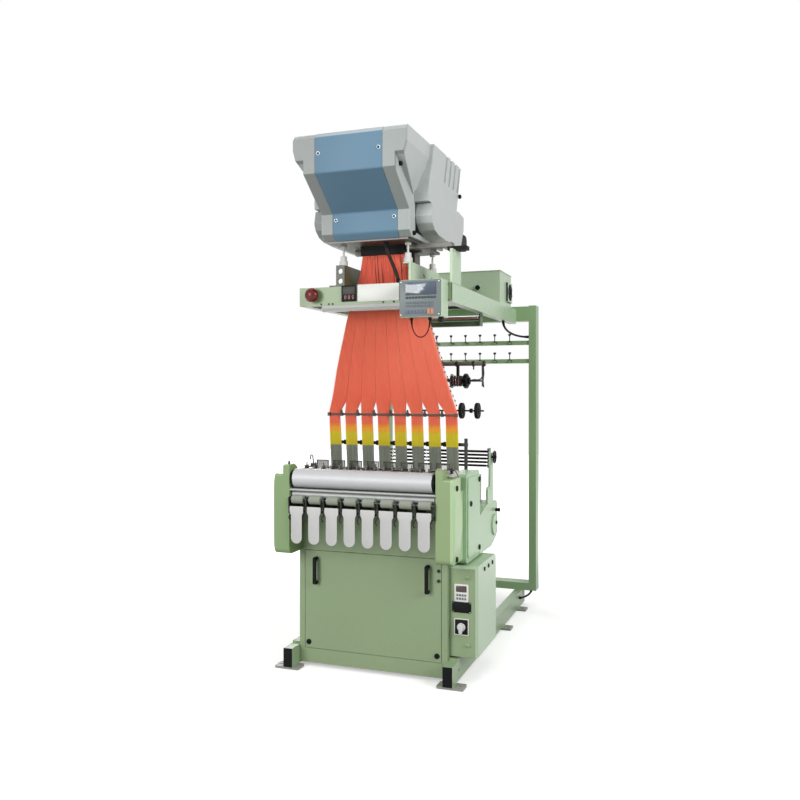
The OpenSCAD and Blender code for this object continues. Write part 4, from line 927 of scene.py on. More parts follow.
@dataclass
class OverheadFrame:
    """Arms, warp roller, front beam with its fittings and the lamp under it."""

    beam_y: float = 110
    beam_top: float = 2050
    display: tuple[float, float, float, float] = (-178, 1968, -90, 2054)
    sign: tuple[float, float, float, float] = (-86, 1964, 150, 2056)
    stop_at: Point = (-342, 110, 2007)
    stop_r: float = 39
    roller_at: Point = (0, 900, 1930)
    roller_half: float = 378

    def build(self) -> None:
        """Dress the CAD pieces and add the fittings."""
        dress(LIGHT_GREEN, "overhead_arms")
        dress(GREEN, "front_beam")
        dress(DARK_GREEN, "roller_hanger")
        dress(LAMP_GREY, "work_lamp")
        self.warp_roller()
        self.display_unit()
        self.sign_plate()
        self.lamp()
        self.stop()
        self.joints()

    def warp_roller(self) -> None:
        """Warp roller: a tube with turned ends on its spindle."""
        half = self.roller_half
        end = [(0, 389), (5.2, 389), (6, 388), (6, half), (13.5, half), (15, half - 1.5)]
        profile = [(r, -x) for r, x in end] + end[::-1]
        make("warp_roller_tube", BRIGHT, "bright_steel",
             revolve(profile, self.roller_at, Axis.X, 32),
             body="warp_roller", replaces=["warp_roller"])

    def display_unit(self) -> None:
        """Length display: frame, grey window and three seven-segment digits."""
        x0, z0, x1, z1 = self.display
        y = self.beam_y
        make("display_frame", BLACK, "black_plastic", plate(x0, z0, x1, z1, y - 8, y - 5.5, 4, 1.2))
        make("display_window", GLASS_GREY, "black_plastic",
             plate(x0 + 8, z0 + 36, x1 - 8, z1 - 7, y - 9.4, y - 7.8, 3, 0.8))
        make("display_digits", DIGITS, "red_plastic", *(
            self.digit(x0 + 18 + k * 22, z0 + 12, segments)
            for k, segments in enumerate(("abcdef", "abcdefg", "afgcd"))))

    def digit(self, x: float, z: float, segments: str) -> Shape:
        """One seven-segment figure.

        Args:
            x: left edge.
            z: lower edge.
            segments: letters of its lit segments.

        Returns:
            The lit segments as thin bars.
        """
        w, h, t = 11.0, 20.0, 2.4
        corners = {"a": (0, h - t, w, h), "b": (w - t, h / 2, w, h), "c": (w - t, 0, w, h / 2),
                   "d": (0, 0, w, t), "e": (0, 0, t, h / 2), "f": (0, h / 2, t, h),
                   "g": (0, (h - t) / 2, w, (h + t) / 2)}
        bars = (corners[letter] for letter in segments)
        return joined(prism([(x + a, z + b), (x + c, z + b), (x + c, z + d), (x + a, z + d)],
                            self.beam_y - 9.2, self.beam_y - 8, Axis.Y) for a, b, c, d in bars)

    def sign_plate(self) -> None:
        """The bare enamelled sign plate with its four screws."""
        x0, z0, x1, z1 = self.sign
        y = self.beam_y
        make("sign_plate", SIGN, "white_plastic", plate(x0, z0, x1, z1, y - 4.2, y - 2.8, 3, 0.6))
        make("sign_screws", BRIGHT, "bright_steel",
             revolve([(3.6, 0), (3.4, -1), (2.2, -1.7), (0, -1.9)],
                     places((x0 + 9, x1 - 9), (y - 4.1,), (z0 + 9, z1 - 9)), Axis.Y, 16))

    def lamp(self) -> None:
        """Diffuser of the work lamp, with its end caps."""
        outline = [(112.5, 1937), (118.5, 1919), (150, 1919), (157, 1937)]
        make("lamp_diffuser", LAMP, "lamp_white", prism(outline, -296, 296, Axis.X, 1.5))
        cap = [(111, 1949), (111, 1936), (118, 1918.5), (151, 1918.5), (158.5, 1936), (158.5, 1949)]
        make("lamp_caps", WHITE, "white_plastic",
             *(prism(cap, x, x + 4, Axis.X, 0.8) for x in (-300.5, 296.5)))

    def stop(self) -> None:
        """Stop button: collar, stem and a domed mushroom."""
        r = self.stop_r
        dome = [(r * np.cos(a), 34 + 0.76 * r * np.sin(a))
                for a in np.radians([4, 16, 30, 45, 60, 75, 87])]
        profile = [(0, -13.9), (11, -13.9), (11, 22), (17, 24), (r - 4, 26), (r - 0.6, 28.5),
                   (r, 31), *dome]
        head = revolve([(a, -b) for a, b in profile], self.stop_at, Axis.Y, 56)
        make("stop_mushroom", RED, "red_plastic", head, body="stop_button",
             replaces=["stop_button"])
        collar = [(23, 0), (23, -5), (21, -8), (17, -10), (12.2, -10.5), (12.2, 0)]
        make("stop_collar", BLACK, "black_plastic", revolve(collar, self.stop_at, Axis.Y, 40))

    def joints(self) -> None:
        """Screws of the beam, and the weld beads at the foot of the right arm's upright."""
        spots = places((-300, -255, -232, 60, 120, 396, 414), (self.beam_y,), (1958,))
        spots += places((396, 414), (self.beam_y,), (2036,))
        make("beam_screws", BLACKED, "black_steel", screws(spots, Axis.Y, 5, -3.5))
        z = self.beam_top
        make("upright_welds", LIGHT_GREEN, "light_green",
             *(weld((x, 148, z), (x, 302, z), 2.6, 0.5, 16, 60) for x in (430, 415)))


@dataclass
class Head:
    """The jacquard head: shell, panel, side covers, its feet, brackets and levelling screws."""

    front_y: float = -216
    low_front_y: float = -2
    top: float = 2780
    panel_half: float = 180
    panel_thick: float = 6.6
    rim_half: float = 245
    cover_half: float = 322
    foot_z: float = 2165
    base_z: float = 2270

    def build(self) -> None:
        """Dress the CAD pieces and add latches, fasteners and screws."""
        dress(HEAD_GREY, "front_shell", "side_cover_left", "side_cover_right")
        dress(DARK_STEEL, "head_base")
        dress(BLACK_RUBBER, "head_feet")
        dress(BLACK, "head_plug", "harness_collar")
        dress(BRACKET, "head_brackets")
        self.panel()
        self.latches()
        self.fasteners()
        self.adjusters()
        self.glands()

    def panel(self) -> None:
        """The blue panel: a bent sheet with rounded bends, carried across the nose.

        Each bend of the side line is a curve (1-t)^2 a + 2 t (1-t) corner + t^2 b between points a
        and b that lie one reach from the corner; the inner line lies one thickness behind, square
        to the outer one.
        """
        y, low_y, top = self.front_y - 2, self.low_front_y, self.top
        line = np.array([(y + 25.2, top), (y, top - 26.2), (y, top - 203), (low_y, top - 366),
                         (low_y, top - 470.9), (low_y + 36.7, top - 501.5)])
        outer = [line[0]]
        for before, here, after, reach in zip(line, line[1:], line[2:], (6, 9, 9, 9)):
            a, b = (here + (end - here) / np.linalg.norm(end - here) * reach
                    for end in (before, after))
            outer += [(1 - t) ** 2 * a + 2 * t * (1 - t) * here + t * t * b
                      for t in np.linspace(0, 1, 6)]
        outer = np.array([*outer, line[-1]])
        way = np.gradient(outer, axis=0)
        way /= np.linalg.norm(way, axis=1, keepdims=True)
        back = outer + self.panel_thick * np.column_stack([-way[:, 1], way[:, 0]])
        sheet = prism(np.concatenate([outer, back[::-1]]), -self.panel_half, self.panel_half,
                      Axis.X, 1)
        make("blue_panel", HEAD_BLUE, "head_blue", sheet, replaces=["front_panel"])

    def latches(self) -> None:
        """Four quarter-turn latches: a bright cup with a dark slotted stud."""
        x = self.panel_half - 18
        spots = (places((-x, x), (self.front_y - 2,), (self.top - 105,))
                 + places((-x, x), (self.low_front_y,), (self.top - 398,)))
        cup = [(9.5, 0.6), (9.5, -1.2), (8.6, -2.2), (7, -2), (6.6, -0.6), (0, -0.6)]
        make("latch_cups", CUP_STEEL, "bright_steel", revolve(cup, spots, Axis.Y, 28))
        stud = [(6.2, -0.5), (6.2, -2.6), (5, -3.6), (0, -3.6)]
        make("latch_studs", BLACKED, "black_steel", revolve(stud, spots, Axis.Y, 20),
             copies(brick((-5.4, -4.4, -1), (5.4, -3.4, 1), 0.4), spots))

    def fasteners(self) -> None:
        """Black cover screws on both sides, and the roof's screws."""
        spots = ((self.rim_half, -146, 2607, 13), (self.rim_half, 58, 2301, 12),
                 (self.cover_half, 640, 2608, 12.5))
        knobs = [revolve([(r, -1), (r, 7), (r * 0.92, 11), (r * 0.72, 13.5), (r * 0.4, 15),
                          (0, 15.5)], (x, y, z), Axis.X, 26) for x, y, z, r in spots]
        make("cover_screws", BLACK, "black_plastic", *(pair(knob) for knob in knobs))
        make("roof_screws", BRIGHT, "bright_steel",
             revolve([(6, -0.5), (6, 1.2), (3.5, 2.4), (0, 2.6)],
                     places((-215, -75, 75, 215), (-150, 250, 610), (self.top,)), Axis.Z, 18))

    def adjusters(self) -> None:
        """Levelling screws: a ribbed white foot, a threaded neck and a flange under the base."""
        h = self.base_z - self.foot_z
        thread = [(5.2 + 0.6 * (k % 2), 53 + k * 1.8) for k in range(22)]
        profile = [(0, 0), (22, 0), (23.5, 2), (23.5, 24), (21.5, 27), (17.5, 27.5), (17.5, 50),
                   (15.5, 52), *thread, (5.8, h - 12), (13.5, h - 12), (17.5, h - 3), (17.5, h),
                   (0, h)]
        ribs = [(22.4 * np.cos(a), 22.4 * np.sin(a), 0) for a in np.radians(np.arange(0, 360, 45))]
        foot = joined((revolve(profile, (0, 0, 0), Axis.Z, 36),
                       revolve([(2, 4), (2, 23)], ribs, Axis.Z, 8)))
        make("levelling_screws", WHITE, "white_plastic",
             copies(foot, places((-185, 185), (150, 570), (self.foot_z,))),
             replaces=["head_adjusters"])
        make("bracket_bolts", BRIGHT, "bright_steel",
             screws(places((-234, 234), (160, 300, 520, 610), (2058,)), Axis.Z, 8, 7))

    def glands(self) -> None:
        """Two blanked cable glands in the plug at the back."""
        gland = [(11, 0), (11, 7), (9, 8.5), (7.5, 12), (6, 13), (0, 13)]
        make("inlet_glands", BLACK, "black_plastic",
             revolve(gland, places((272, 308), (779.6,), (2354,)), Axis.Y, 12))


@dataclass
class Harness:
    """The cords from the head to the tapes: fan, groups with sleeves and springs, comber bar."""

    comber_z: float = 1362
    comber_y: float = 397
    collar_z: float = 2224
    neck_y: float = 250
    group_y: float = 425
    group_low: float = 1050
    group_half: float = 33
    threads: int = 26
    layers: int = 4
    beads: int = 21

    def build(self) -> None:
        """Dress the bar and build the cords."""
        dress(OXIDE, "comber_bar")
        self.fan()
        self.groups()
        self.bar_fittings()

    def spread(self, z: np.ndarray) -> tuple[np.ndarray, np.ndarray]:
        """Middle and half width of the fan at a height, by straight stretches between rows."""
        rows = [1362, 1450, 1650, 1937, 2094, 2225]
        return (np.interp(z, rows, [0, 0, 0, 10, 16, 18]),
                np.interp(z, rows, [383, 356, 302, 218, 150, 118]))

    def fan(self) -> None:
        """The fan: in each layer, thread k of group i runs from its sleeve up into the collar.

        At height z a thread lies at x = c(z) + (group + s h(z)) w(z) / (last group + h(z)), where
        s from -1 to 1 is its place in the group, h grows from the group's half width to half the
        pitch, and c and w are the fan's middle and half width.
        """
        z = np.concatenate([np.linspace(self.comber_z - 13, 1470, 8),
                            np.linspace(1520, self.collar_z, 9)])
        rise = (z - self.comber_z) / (self.collar_z - self.comber_z)
        open_share = np.clip((z - self.comber_z) / 95, 0, 1)
        h = (self.group_half + 17 * open_share ** 2 * (3 - 2 * open_share)
             - 5 * np.clip((z - 1950) / 278, 0, 1))
        c, w = self.spread(z)
        edge = TAPE_X[-1] + h
        depth = 8 + 29 * np.clip(rise, 0, 1)
        y_mid = self.comber_y + (self.neck_y - self.comber_y) * np.clip(rise, -0.02, 1)
        cords = []
        for layer in range(self.layers):
            v = -0.9 + 1.8 * layer / (self.layers - 1)
            shift = layer % 2 / self.threads
            for x0 in TAPE_X:
                for k, s in enumerate(np.linspace(-1, 1, self.threads)):
                    x = c + (x0 + (s + shift * (1 - abs(s))) * h) * w / edge
                    wave = 0.9 * np.sin(z / 47 + 2.1 * k + layer)
                    line = np.stack([x, y_mid + v * depth + wave, z], axis=1)
                    cords.append(sweep(line, 0.95, 3, (1, 0.1, 0)))
        make("harness_cords", THREADS, "harness_cord", *cords, replaces=["harness_fan"])
        cores = []
        for x0 in TAPE_X:
            outline = [np.stack([c + (x0 + a * (h - 2.5)) * w / edge,
                                 y_mid + b * (depth - 3.5), z], axis=1)
                       for a, b in ((-1, -1), (1, -1), (1, 1), (-1, 1))]
            cores.append(tube(np.stack(outline, axis=1)))
        make("harness_core", THREADS, "harness_cord", *cores)

    def groups(self) -> None:
        """Springs, sleeves and tails under the comber bar, two rows to a group.

        A point at height z leans back to y + (comber - group) (z - 1050) / 296.
        """
        z = np.arange(self.group_low + 1, 1186, 1.6)
        coil = np.column_stack([1.25 + 0.45 * (np.arange(len(z)) % 2), z])
        sleeve = [(1.2, 1184), (1.9, 1186), (1.9, 1280), (1.2, 1284), (0.95, 1350)]
        lean = self.comber_y - self.group_y
        spots = [(x0 + s * self.group_half + row * 0.8, row * 4.6 + self.group_y, 0)
                 for x0 in TAPE_X for s in np.linspace(-0.94, 0.94, 15) for row in (-1, 1)]
        for name, profile, replaces in (("harness_springs", coil, ["harness_groups"]),
                                        ("harness_sleeves", sleeve, [])):
            points, faces = revolve(profile, spots, Axis.Z, 6)
            points[:, 1] += lean * (points[:, 2] - self.group_low) / 296
            make(name, THREADS, "harness_yellow", (points, faces), replaces=replaces)
        low, high = self.group_low + 0.5, 1350
        back = [(self.group_y - 2.6, low), (self.group_y + 2.6, low),
                (self.comber_y + 2.6, high), (self.comber_y - 2.6, high)]
        half = self.group_half - 1
        make("harness_backing", THREADS, "harness_yellow",
             copies(prism(back, -half, half, Axis.X, 0.5), TAPE_SPOTS))

    def bar_fittings(self) -> None:
        """Black separators on the comber bar, and small dark beads on a cord beside the fan.

        Bead k hangs at z = 1930 - 26 k, outside the fan's edge c(z) + w(z) by 5 + 8 |sin 2.4 k|.
        """
        wedge = prism([(-9, 1354), (9, 1354), (4, 1384), (-4, 1384)], 377, 383, Axis.Y, 1)
        make("comber_separators", BLACKED, "black_steel", copies(wedge, places(GAP_X, (0,), (0,))))
        k = np.arange(self.beads)
        z = 1930.0 - 26.0 * k
        c, w = self.spread(z)
        rise = (z - self.comber_z) / (self.collar_z - self.comber_z)
        line = np.stack([c + w + 5 + 8 * np.abs(np.sin(2.4 * k)),
                         self.comber_y + (self.neck_y - self.comber_y) * rise, z], axis=1)
        bead = [(0.6, -5), (2.8, -4), (3.8, -1), (3.8, 1), (2.8, 4), (0.6, 5)]
        make("cord_beads", BLACKED, "black_plastic", revolve(bead, line, Axis.Z, 8),
             sweep(line, 0.7, 5, (0, 1, 0.2)))


@dataclass
class WeavingZone:
    """Guard, spring box, breast bar and reeds, with the small parts that carry the threads."""

    deck: float = 1000
    reed: tuple[float, float] = (235, 1022)
    reed_half: float = 36
    dents: int = 14

    def build(self) -> None:
        """Dress the CAD pieces and add the weft parts of each tape."""
        dress(BLACKED, "group_guard", "spring_box")
        dress(DARK_STEEL, "breast_bar")
        self.reeds()
        self.weft_heads()
        self.guard_clips()

    def reeds(self) -> None:
        """The sley: a shaft, and for each tape two baulks, two end posts and a row of dents."""
        (y, z), w = self.reed, self.reed_half
        shaft = [(0, -401), (9.4, -401), (10, -400), (10, 400), (9.4, 401), (0, 401)]
        bars = (brick((-w, y - 5, z + 6), (w, y + 5, z + 24), 1.6),
                brick((-w, y - 4, z + 79), (w, y + 4, z + 84), 1.4),
                brick((-w, y - 3, z + 23), (3 - w, y + 3, z + 80), 0.8),
                brick((w - 3, y - 3, z + 23), (w, y + 3, z + 80), 0.8))
        make("reed_frames", REED_STEEL, "dark_steel", revolve(shaft, (0, y, z), Axis.X, 32),
             copies(joined(bars), TAPE_SPOTS), body="reed_sley", replaces=["reed_sley"])
        dent = prism([(-0.35, y - 3), (0.35, y - 3), (0.35, y + 3), (-0.35, y + 3)], z + 22, z + 80,
                     Axis.Z)
        spots = [(x + a, 0, 0) for x in TAPE_X for a in np.linspace(-30, 30, self.dents)]
        make("reed_dents", DARK_STEEL, "dark_steel", copies(dent, spots), body="reed_sley")

    def weft_heads(self) -> None:
        """One bronze bearing block, needle arm and screw for each tape, behind the breast bar."""
        z = self.deck
        blocks = (brick((-30, 120, z), (-12, 160, z + 38), 3),
                  brick((14, 122, z), (30, 150, z + 26), 2))
        path = bezier((-21, 140, z + 36), (-21, 140, z + 78), (-4, 120, z + 92),
                      (20, 112, z + 94), 14)
        heads = (screws((-21, 132, z + 38), Axis.Z, 4.5, 5),
                 screws((22, 136, z + 26), Axis.Z, 4, 4))
        for name, finish, slot, shape in (
                ("weft_blocks", BRONZE, "dark_steel", joined(blocks)),
                ("weft_arms", BRIGHT, "bright_steel",
                 sweep(path, np.linspace(2.6, 1.3, 15), 8, UP)),
                ("weft_screws", BLACKED, "black_steel", joined(heads))):
            make(name, finish, slot, copies(shape, TAPE_SPOTS))

    def guard_clips(self) -> None:
        """Clips on the guard bar between the groups, and the hooked wire at its left end."""
        make("guard_clips", BLACK, "black_plastic",
             copies(brick((-10.5, 434.6, 1180), (10.5, 449.5, 1206.5), 2),
                    places(GAP_X, (0,), (0,))))
        path = [(-336, 90, 1085), (-338, 90, 1110), (-340, 88, 1136), (-345, 86, 1145),
                (-352, 85, 1140), (-354, 85, 1128), (-350, 85, 1119)]
        make("thread_hook", BLACKED, "black_steel", sweep(path, 3, 8, (0, 1, 0)),
             brick((-350, 80, 1084), (-322, 100, 1100), 2))


@dataclass
class Body:
    """Body panels, the lift-off door with its fittings, and the side frames."""

    face_y: float = 89
    door_half: float = 385
    handle_x: float = 316
    handle_z: tuple[float, float] = (450, 596)
    lock_z: float = 132
    screw_z: tuple[float, float] = (517, 568)

    def build(self) -> None:
        """Dress the CAD pieces and add handles, locks and screws."""
        dress(GREEN, "side_frames", "body_panels", "front_door")
        self.handles()
        self.locks()

    def handles(self) -> None:
        """Bridge handles: a side outline with two elbows, carried across the handle's width."""
        (z0, z1), y = self.handle_z, self.face_y
        outline = np.concatenate([
            [(y, z0), (y, z0 + 16), (y - 16, z0 + 20), (y - 24, z0 + 24)],
            [(y - 24, z1 - 24), (y - 16, z1 - 20), (y, z1 - 16), (y, z1)],
            arc((y - 25, z1 - 12), 12, 90, 180, 8), arc((y - 25, z0 + 12), 12, 180, 270, 8)])
        make("door_handles", BLACK, "black_plastic",
             *(prism(outline, x - 10, x + 10, Axis.X, 4.5, 4)
               for x in (-self.handle_x, self.handle_x)),
             body="front_door", replaces=["door_fittings"])

    def locks(self) -> None:
        """Quarter-turn locks with a moulded wing, and the two screws at the right."""
        x, y = self.door_half - 22, self.face_y
        spots = places((-x, x), (y,), (self.lock_z,))
        cup = [(14, 0), (14, -4), (12.5, -6), (9.5, -6.6), (9.5, -7.2), (8, -8.4), (0, -8.4)]
        make("door_locks", BLACK, "black_plastic", revolve(cup, spots, Axis.Y, 32),
             copies(brick((-2.2, -11, -8.5), (2.2, -8, 8.5), 1.4), spots),
             revolve([(5.8, -0.5), (5.8, 3.8)], spots, Axis.Y, 16), body="front_door")
        make("door_screws", BLACKED, "black_steel",
             screws(places((self.door_half - 12,), (y,), self.screw_z), Axis.Y, 9, -5.5),
             body="front_door")


@dataclass
class SideHousings:
    """Front housings and drive casings with their bolt sockets, the motor lid and a thread dish."""

    outer: float = 506
    socket_r: float = 14.2
    lid: tuple[float, float] = (740, 715)
    pan: Point = (456, 46, 1065)

    def build(self) -> None:
        """Dress the CAD pieces and add the fittings."""
        dress(HOUSING_LEFT, "housing_left")
        dress(HOUSING_RIGHT, "housing_right")
        dress(CASING_GREEN, "gear_casing", "motor_casing")
        self.sockets()
        rim = [(60.2, 0.2), (60.8, 3), (59.8, 6.4), (57.6, 7.4), (55.4, 6.6), (55.2, 0.2)]
        make("motor_lid_rim", CASING_GREEN, "light_green",
             revolve(rim, (self.outer, *self.lid), Axis.X, 56))
        self.thread_pan()

    def sockets(self) -> None:
        """Dark sockets over the bolts of the right housing, gear casing and lid, and a knob."""
        housing, casing = self.outer - 8, self.outer + 10
        groups = ((self.socket_r, [(housing, -2, 653), (housing, -2, 1006), (casing, 372, 1016),
                                   (casing, 372, 650), (casing, 200, 905)]),
                  (10.2, [(casing, 770, 722)]))
        cups = [revolve([(r, -4), (r, 0.9), (r - 1.4, 2), (r * 0.6, 2), (r * 0.54, 0.5), (0, 0.5)],
                        spots, Axis.X, 28) for r, spots in groups]
        knob = [(9.2, 0.2), (9.2, 15), (11.5, 17), (12, 19), (12, 25), (10.5, 27), (0, 27.3)]
        make("housing_sockets", BLACK, "black_plastic", *cups,
             revolve(knob, (self.outer, 773, 796), Axis.X, 28))

    def thread_pan(self) -> None:
        """White oval dish on the right housing with a dark fitting, and a nipple on the left boss.

        The dish is a round profile r(s), z(s) stretched along x, squeezed along y and tipped to
        the front: z + 0.5 y.
        """
        x, y, z = self.pan
        profile = [(26, 0), (30, 3), (33, 9), (34.5, 10), (33.5, 11), (31, 10), (27, 4.5), (10, 3),
                   (0, 3)]
        points, faces = revolve(profile, (0, 0, 0), Axis.Z, 40)
        points *= np.array([1.15, 0.8, 1.0])
        points[:, 2] += 0.5 * points[:, 1]
        foot = revolve([(12, 0), (9, 4), (9, 20)], (x, y, z - 13.2), Axis.Z, 24)
        make("thread_pan", WHITE, "white_plastic", (points + np.array(self.pan), faces), foot)
        stem = [(7, 2), (7, 16), (11, 18), (11, 21), (4, 22), (4, 30), (6, 32), (0, 33)]
        wires = (bezier((452, 52, 1090), (478, 46, 1098), (486, 32, 1070), (497, 20, 1060), 10),
                 bezier((452, 52, 1092), (436, 50, 1102), (428, 48, 1080), (418, 44, 1074), 10))
        make("pan_fitting", BLACKED, "dark_steel", revolve(stem, (452, 52, 1068), Axis.Z, 20),
             *(sweep(wire, 2, 8, (0, 1, 0)) for wire in wires))
        nipple = [(6, -2), (6, 5), (4, 7), (4, 11), (5.5, 12.5), (4, 15), (0, 16)]
        make("boss_nipple", BLACKED, "black_steel",
             revolve(nipple, (-424, -25, 1103.5), Axis.Z, 16))


@dataclass
class Rollers:
    """Take-up roller, drive bar, press rollers on their shaft, and the cheeks between them."""

    roller_yz: tuple[float, float] = (-25, 1030)
    roller_half: float = 383
    drive_yz: tuple[float, float] = (-30, 945)
    press_y: float = -66
    press_r: float = 22
    nip: float = 42.8

    def build(self) -> None:
        """Dress the cheeks and build the rollers."""
        dress(BLACKED, "lever_brackets")
        self.take_up()
        self.drive()
        self.press()
        rod = [(6.2, -402.6), (6.7, -402), (6.7, 402), (6.2, 402.6)]
        make("tape_rod_polished", DRIVE_STEEL, "bright_steel",
             revolve(rod, (0, -56, 971), Axis.X, 28))

    @property
    def press_z(self) -> float:
        """Height of the press rollers' axis, one nip distance from the drive bar's."""
        across = self.press_y - self.drive_yz[0]
        return self.drive_yz[1] - float(np.sqrt(self.nip ** 2 - across ** 2))

    def take_up(self) -> None:
        """The pale roller sleeve with black end rings on bright journals."""
        at, half = (0, *self.roller_yz), self.roller_half
        sleeve = [(0, -half), (48, -half), (50, 2 - half), (50, half - 2), (48, half), (0, half)]
        ring = [(20, 383.2), (42.5, 383.2), (43, 384), (43, 394), (41, 395), (20, 395)]
        pin = [(15, 394.8), (15, 426), (14, 427), (0, 427)]
        body = "take_up_roller"
        make("take_up_sleeve", SLEEVE, "grey_roller", revolve(sleeve, at, Axis.X, 72), body=body,
             replaces=["take_up_roller"])
        make("take_up_rings", BLACK, "black_plastic", pair(revolve(ring, at, Axis.X, 56)),
             body=body)
        make("take_up_journals", BRIGHT, "bright_steel", pair(revolve(pin, at, Axis.X, 32)),
             body=body)

    def drive(self) -> None:
        """The driven bar, knurled by rings under each tape."""
        x = np.arange(-393.0, 394.0, 3.0)
        near = np.min(np.abs(x[:, None] - TAPE_X[None]), axis=1) < 36
        groove = near & (np.arange(len(x)) % 2 == 0)
        end = [(0, -423), (12, -423), (12, -394)]
        profile = [*end, *zip(np.where(groove, 19.6, 20.0), x), *((r, -a) for r, a in end[::-1])]
        make("drive_bar_turned", DRIVE_STEEL, "bright_steel",
             revolve(profile, (0, *self.drive_yz), Axis.X, 44), body="drive_bar",
             replaces=["drive_bar"])

    def press(self) -> None:
        """Rubber press rollers with hubs, on their common shaft."""
        y, z, r = self.press_y, self.press_z, self.press_r
        rubber = [(8, -31), (r - 1.5, -31), (r, -29.5), (r, 29.5), (r - 1.5, 31), (8, 31)]
        make("press_rubbers", GREY_RUBBER, "grey_rubber",
             revolve(rubber, places(TAPE_X, (y,), (z,)), Axis.X, 44), body="press_rollers",
             replaces=["press_rollers"])
        shaft = [(0, -402), (5.4, -402), (6, -401), (6, 401), (5.4, 402), (0, 402)]
        make("press_shaft", DARK_STEEL, "bright_steel", revolve(shaft, (0, y, z), Axis.X, 24),
             body="press_rollers")


@dataclass
class PressLevers:
    """The eight white levers with the black springs that hang between them."""

    pivot: tuple[float, float] = (-62, 860)
    face_y: float = -88
    half: float = 31
    low: float = 694
    top: float = 888
    coil_r: float = 11.5

    def build(self) -> None:
        """Build each lever on its own body, and the springs on the frame."""
        for i, x in enumerate(TAPE_X):
            self.lever(f"lever_{i + 1}", x)
        self.springs()

    def lever(self, name: str, x: float) -> None:
        """One lever: a dished tongue with a round end, a web and a bored hub.

        Args:
            name: the piece's name, which its body has with press_ before it.
            x: middle of its tape.
        """
        h = self.half
        side = [(x + h, 842), (x + h + 8, 858), (x + h + 8, self.top - 4), (x + h + 5, self.top)]
        outline = np.concatenate([arc((x, self.low + h), h, 180, 360, 14), side,
                                  [(2 * x - a, b) for a, b in side[::-1]]])
        hub = [(6.1, -26), (11, -26), (12, -25), (12, 25), (11, 26), (6.1, 26)]
        make(name, LEVER_WHITE, "white_plastic",
             prism(outline, self.face_y, self.face_y + 4, Axis.Y, 1.3, 3),
             revolve(hub, (x, *self.pivot), Axis.X, 32),
             brick((x - 25, self.face_y + 3.5, 848), (x + 25, self.pivot[0] - 9.5, 868), 1.5),
             body=f"press_{name}", replaces=[f"press_{name}"])

    def springs(self) -> None:
        """Torsion springs between the levers: a coil round the lever shaft and a wire down from it.

        The coil is x = 4.5 + 1.5 t over t = 0 to 4 turns. The wire swings from side to side as it
        goes down: x = 8.5 sin(2 pi s), y = -84 + 6 s, z = 880 - 70 s, for s from 0 to 1.
        """
        s, t = np.linspace(0, 1, 22), np.linspace(0, 4, 56)
        angle = 2 * np.pi * t
        wire = np.stack([8.5 * np.sin(2 * np.pi * s), -84 + 6 * s, 880 - 70 * s], axis=1)
        coil = np.stack([4.5 + 1.5 * t, self.pivot[0] + self.coil_r * np.cos(angle),
                         self.pivot[1] + self.coil_r * np.sin(angle)], axis=1)
        outermost = TAPE_X[-1] + PITCH / 2 - 12
        shapes = []
        for x in (-outermost, *GAP_X, outermost):
            side = -1 if x == outermost else 1
            shapes += [sweep(wire + (x, 0, 0), 4 - 0.8 * s, 8, (0.1, 1, 0.1)),
                       sweep(coil * (side, 1, 1) + (x, 0, 0), 0.8, 5, (1, 0.05, 0.05))]
        make("lever_springs", BLACKED, "black_steel", *shapes)


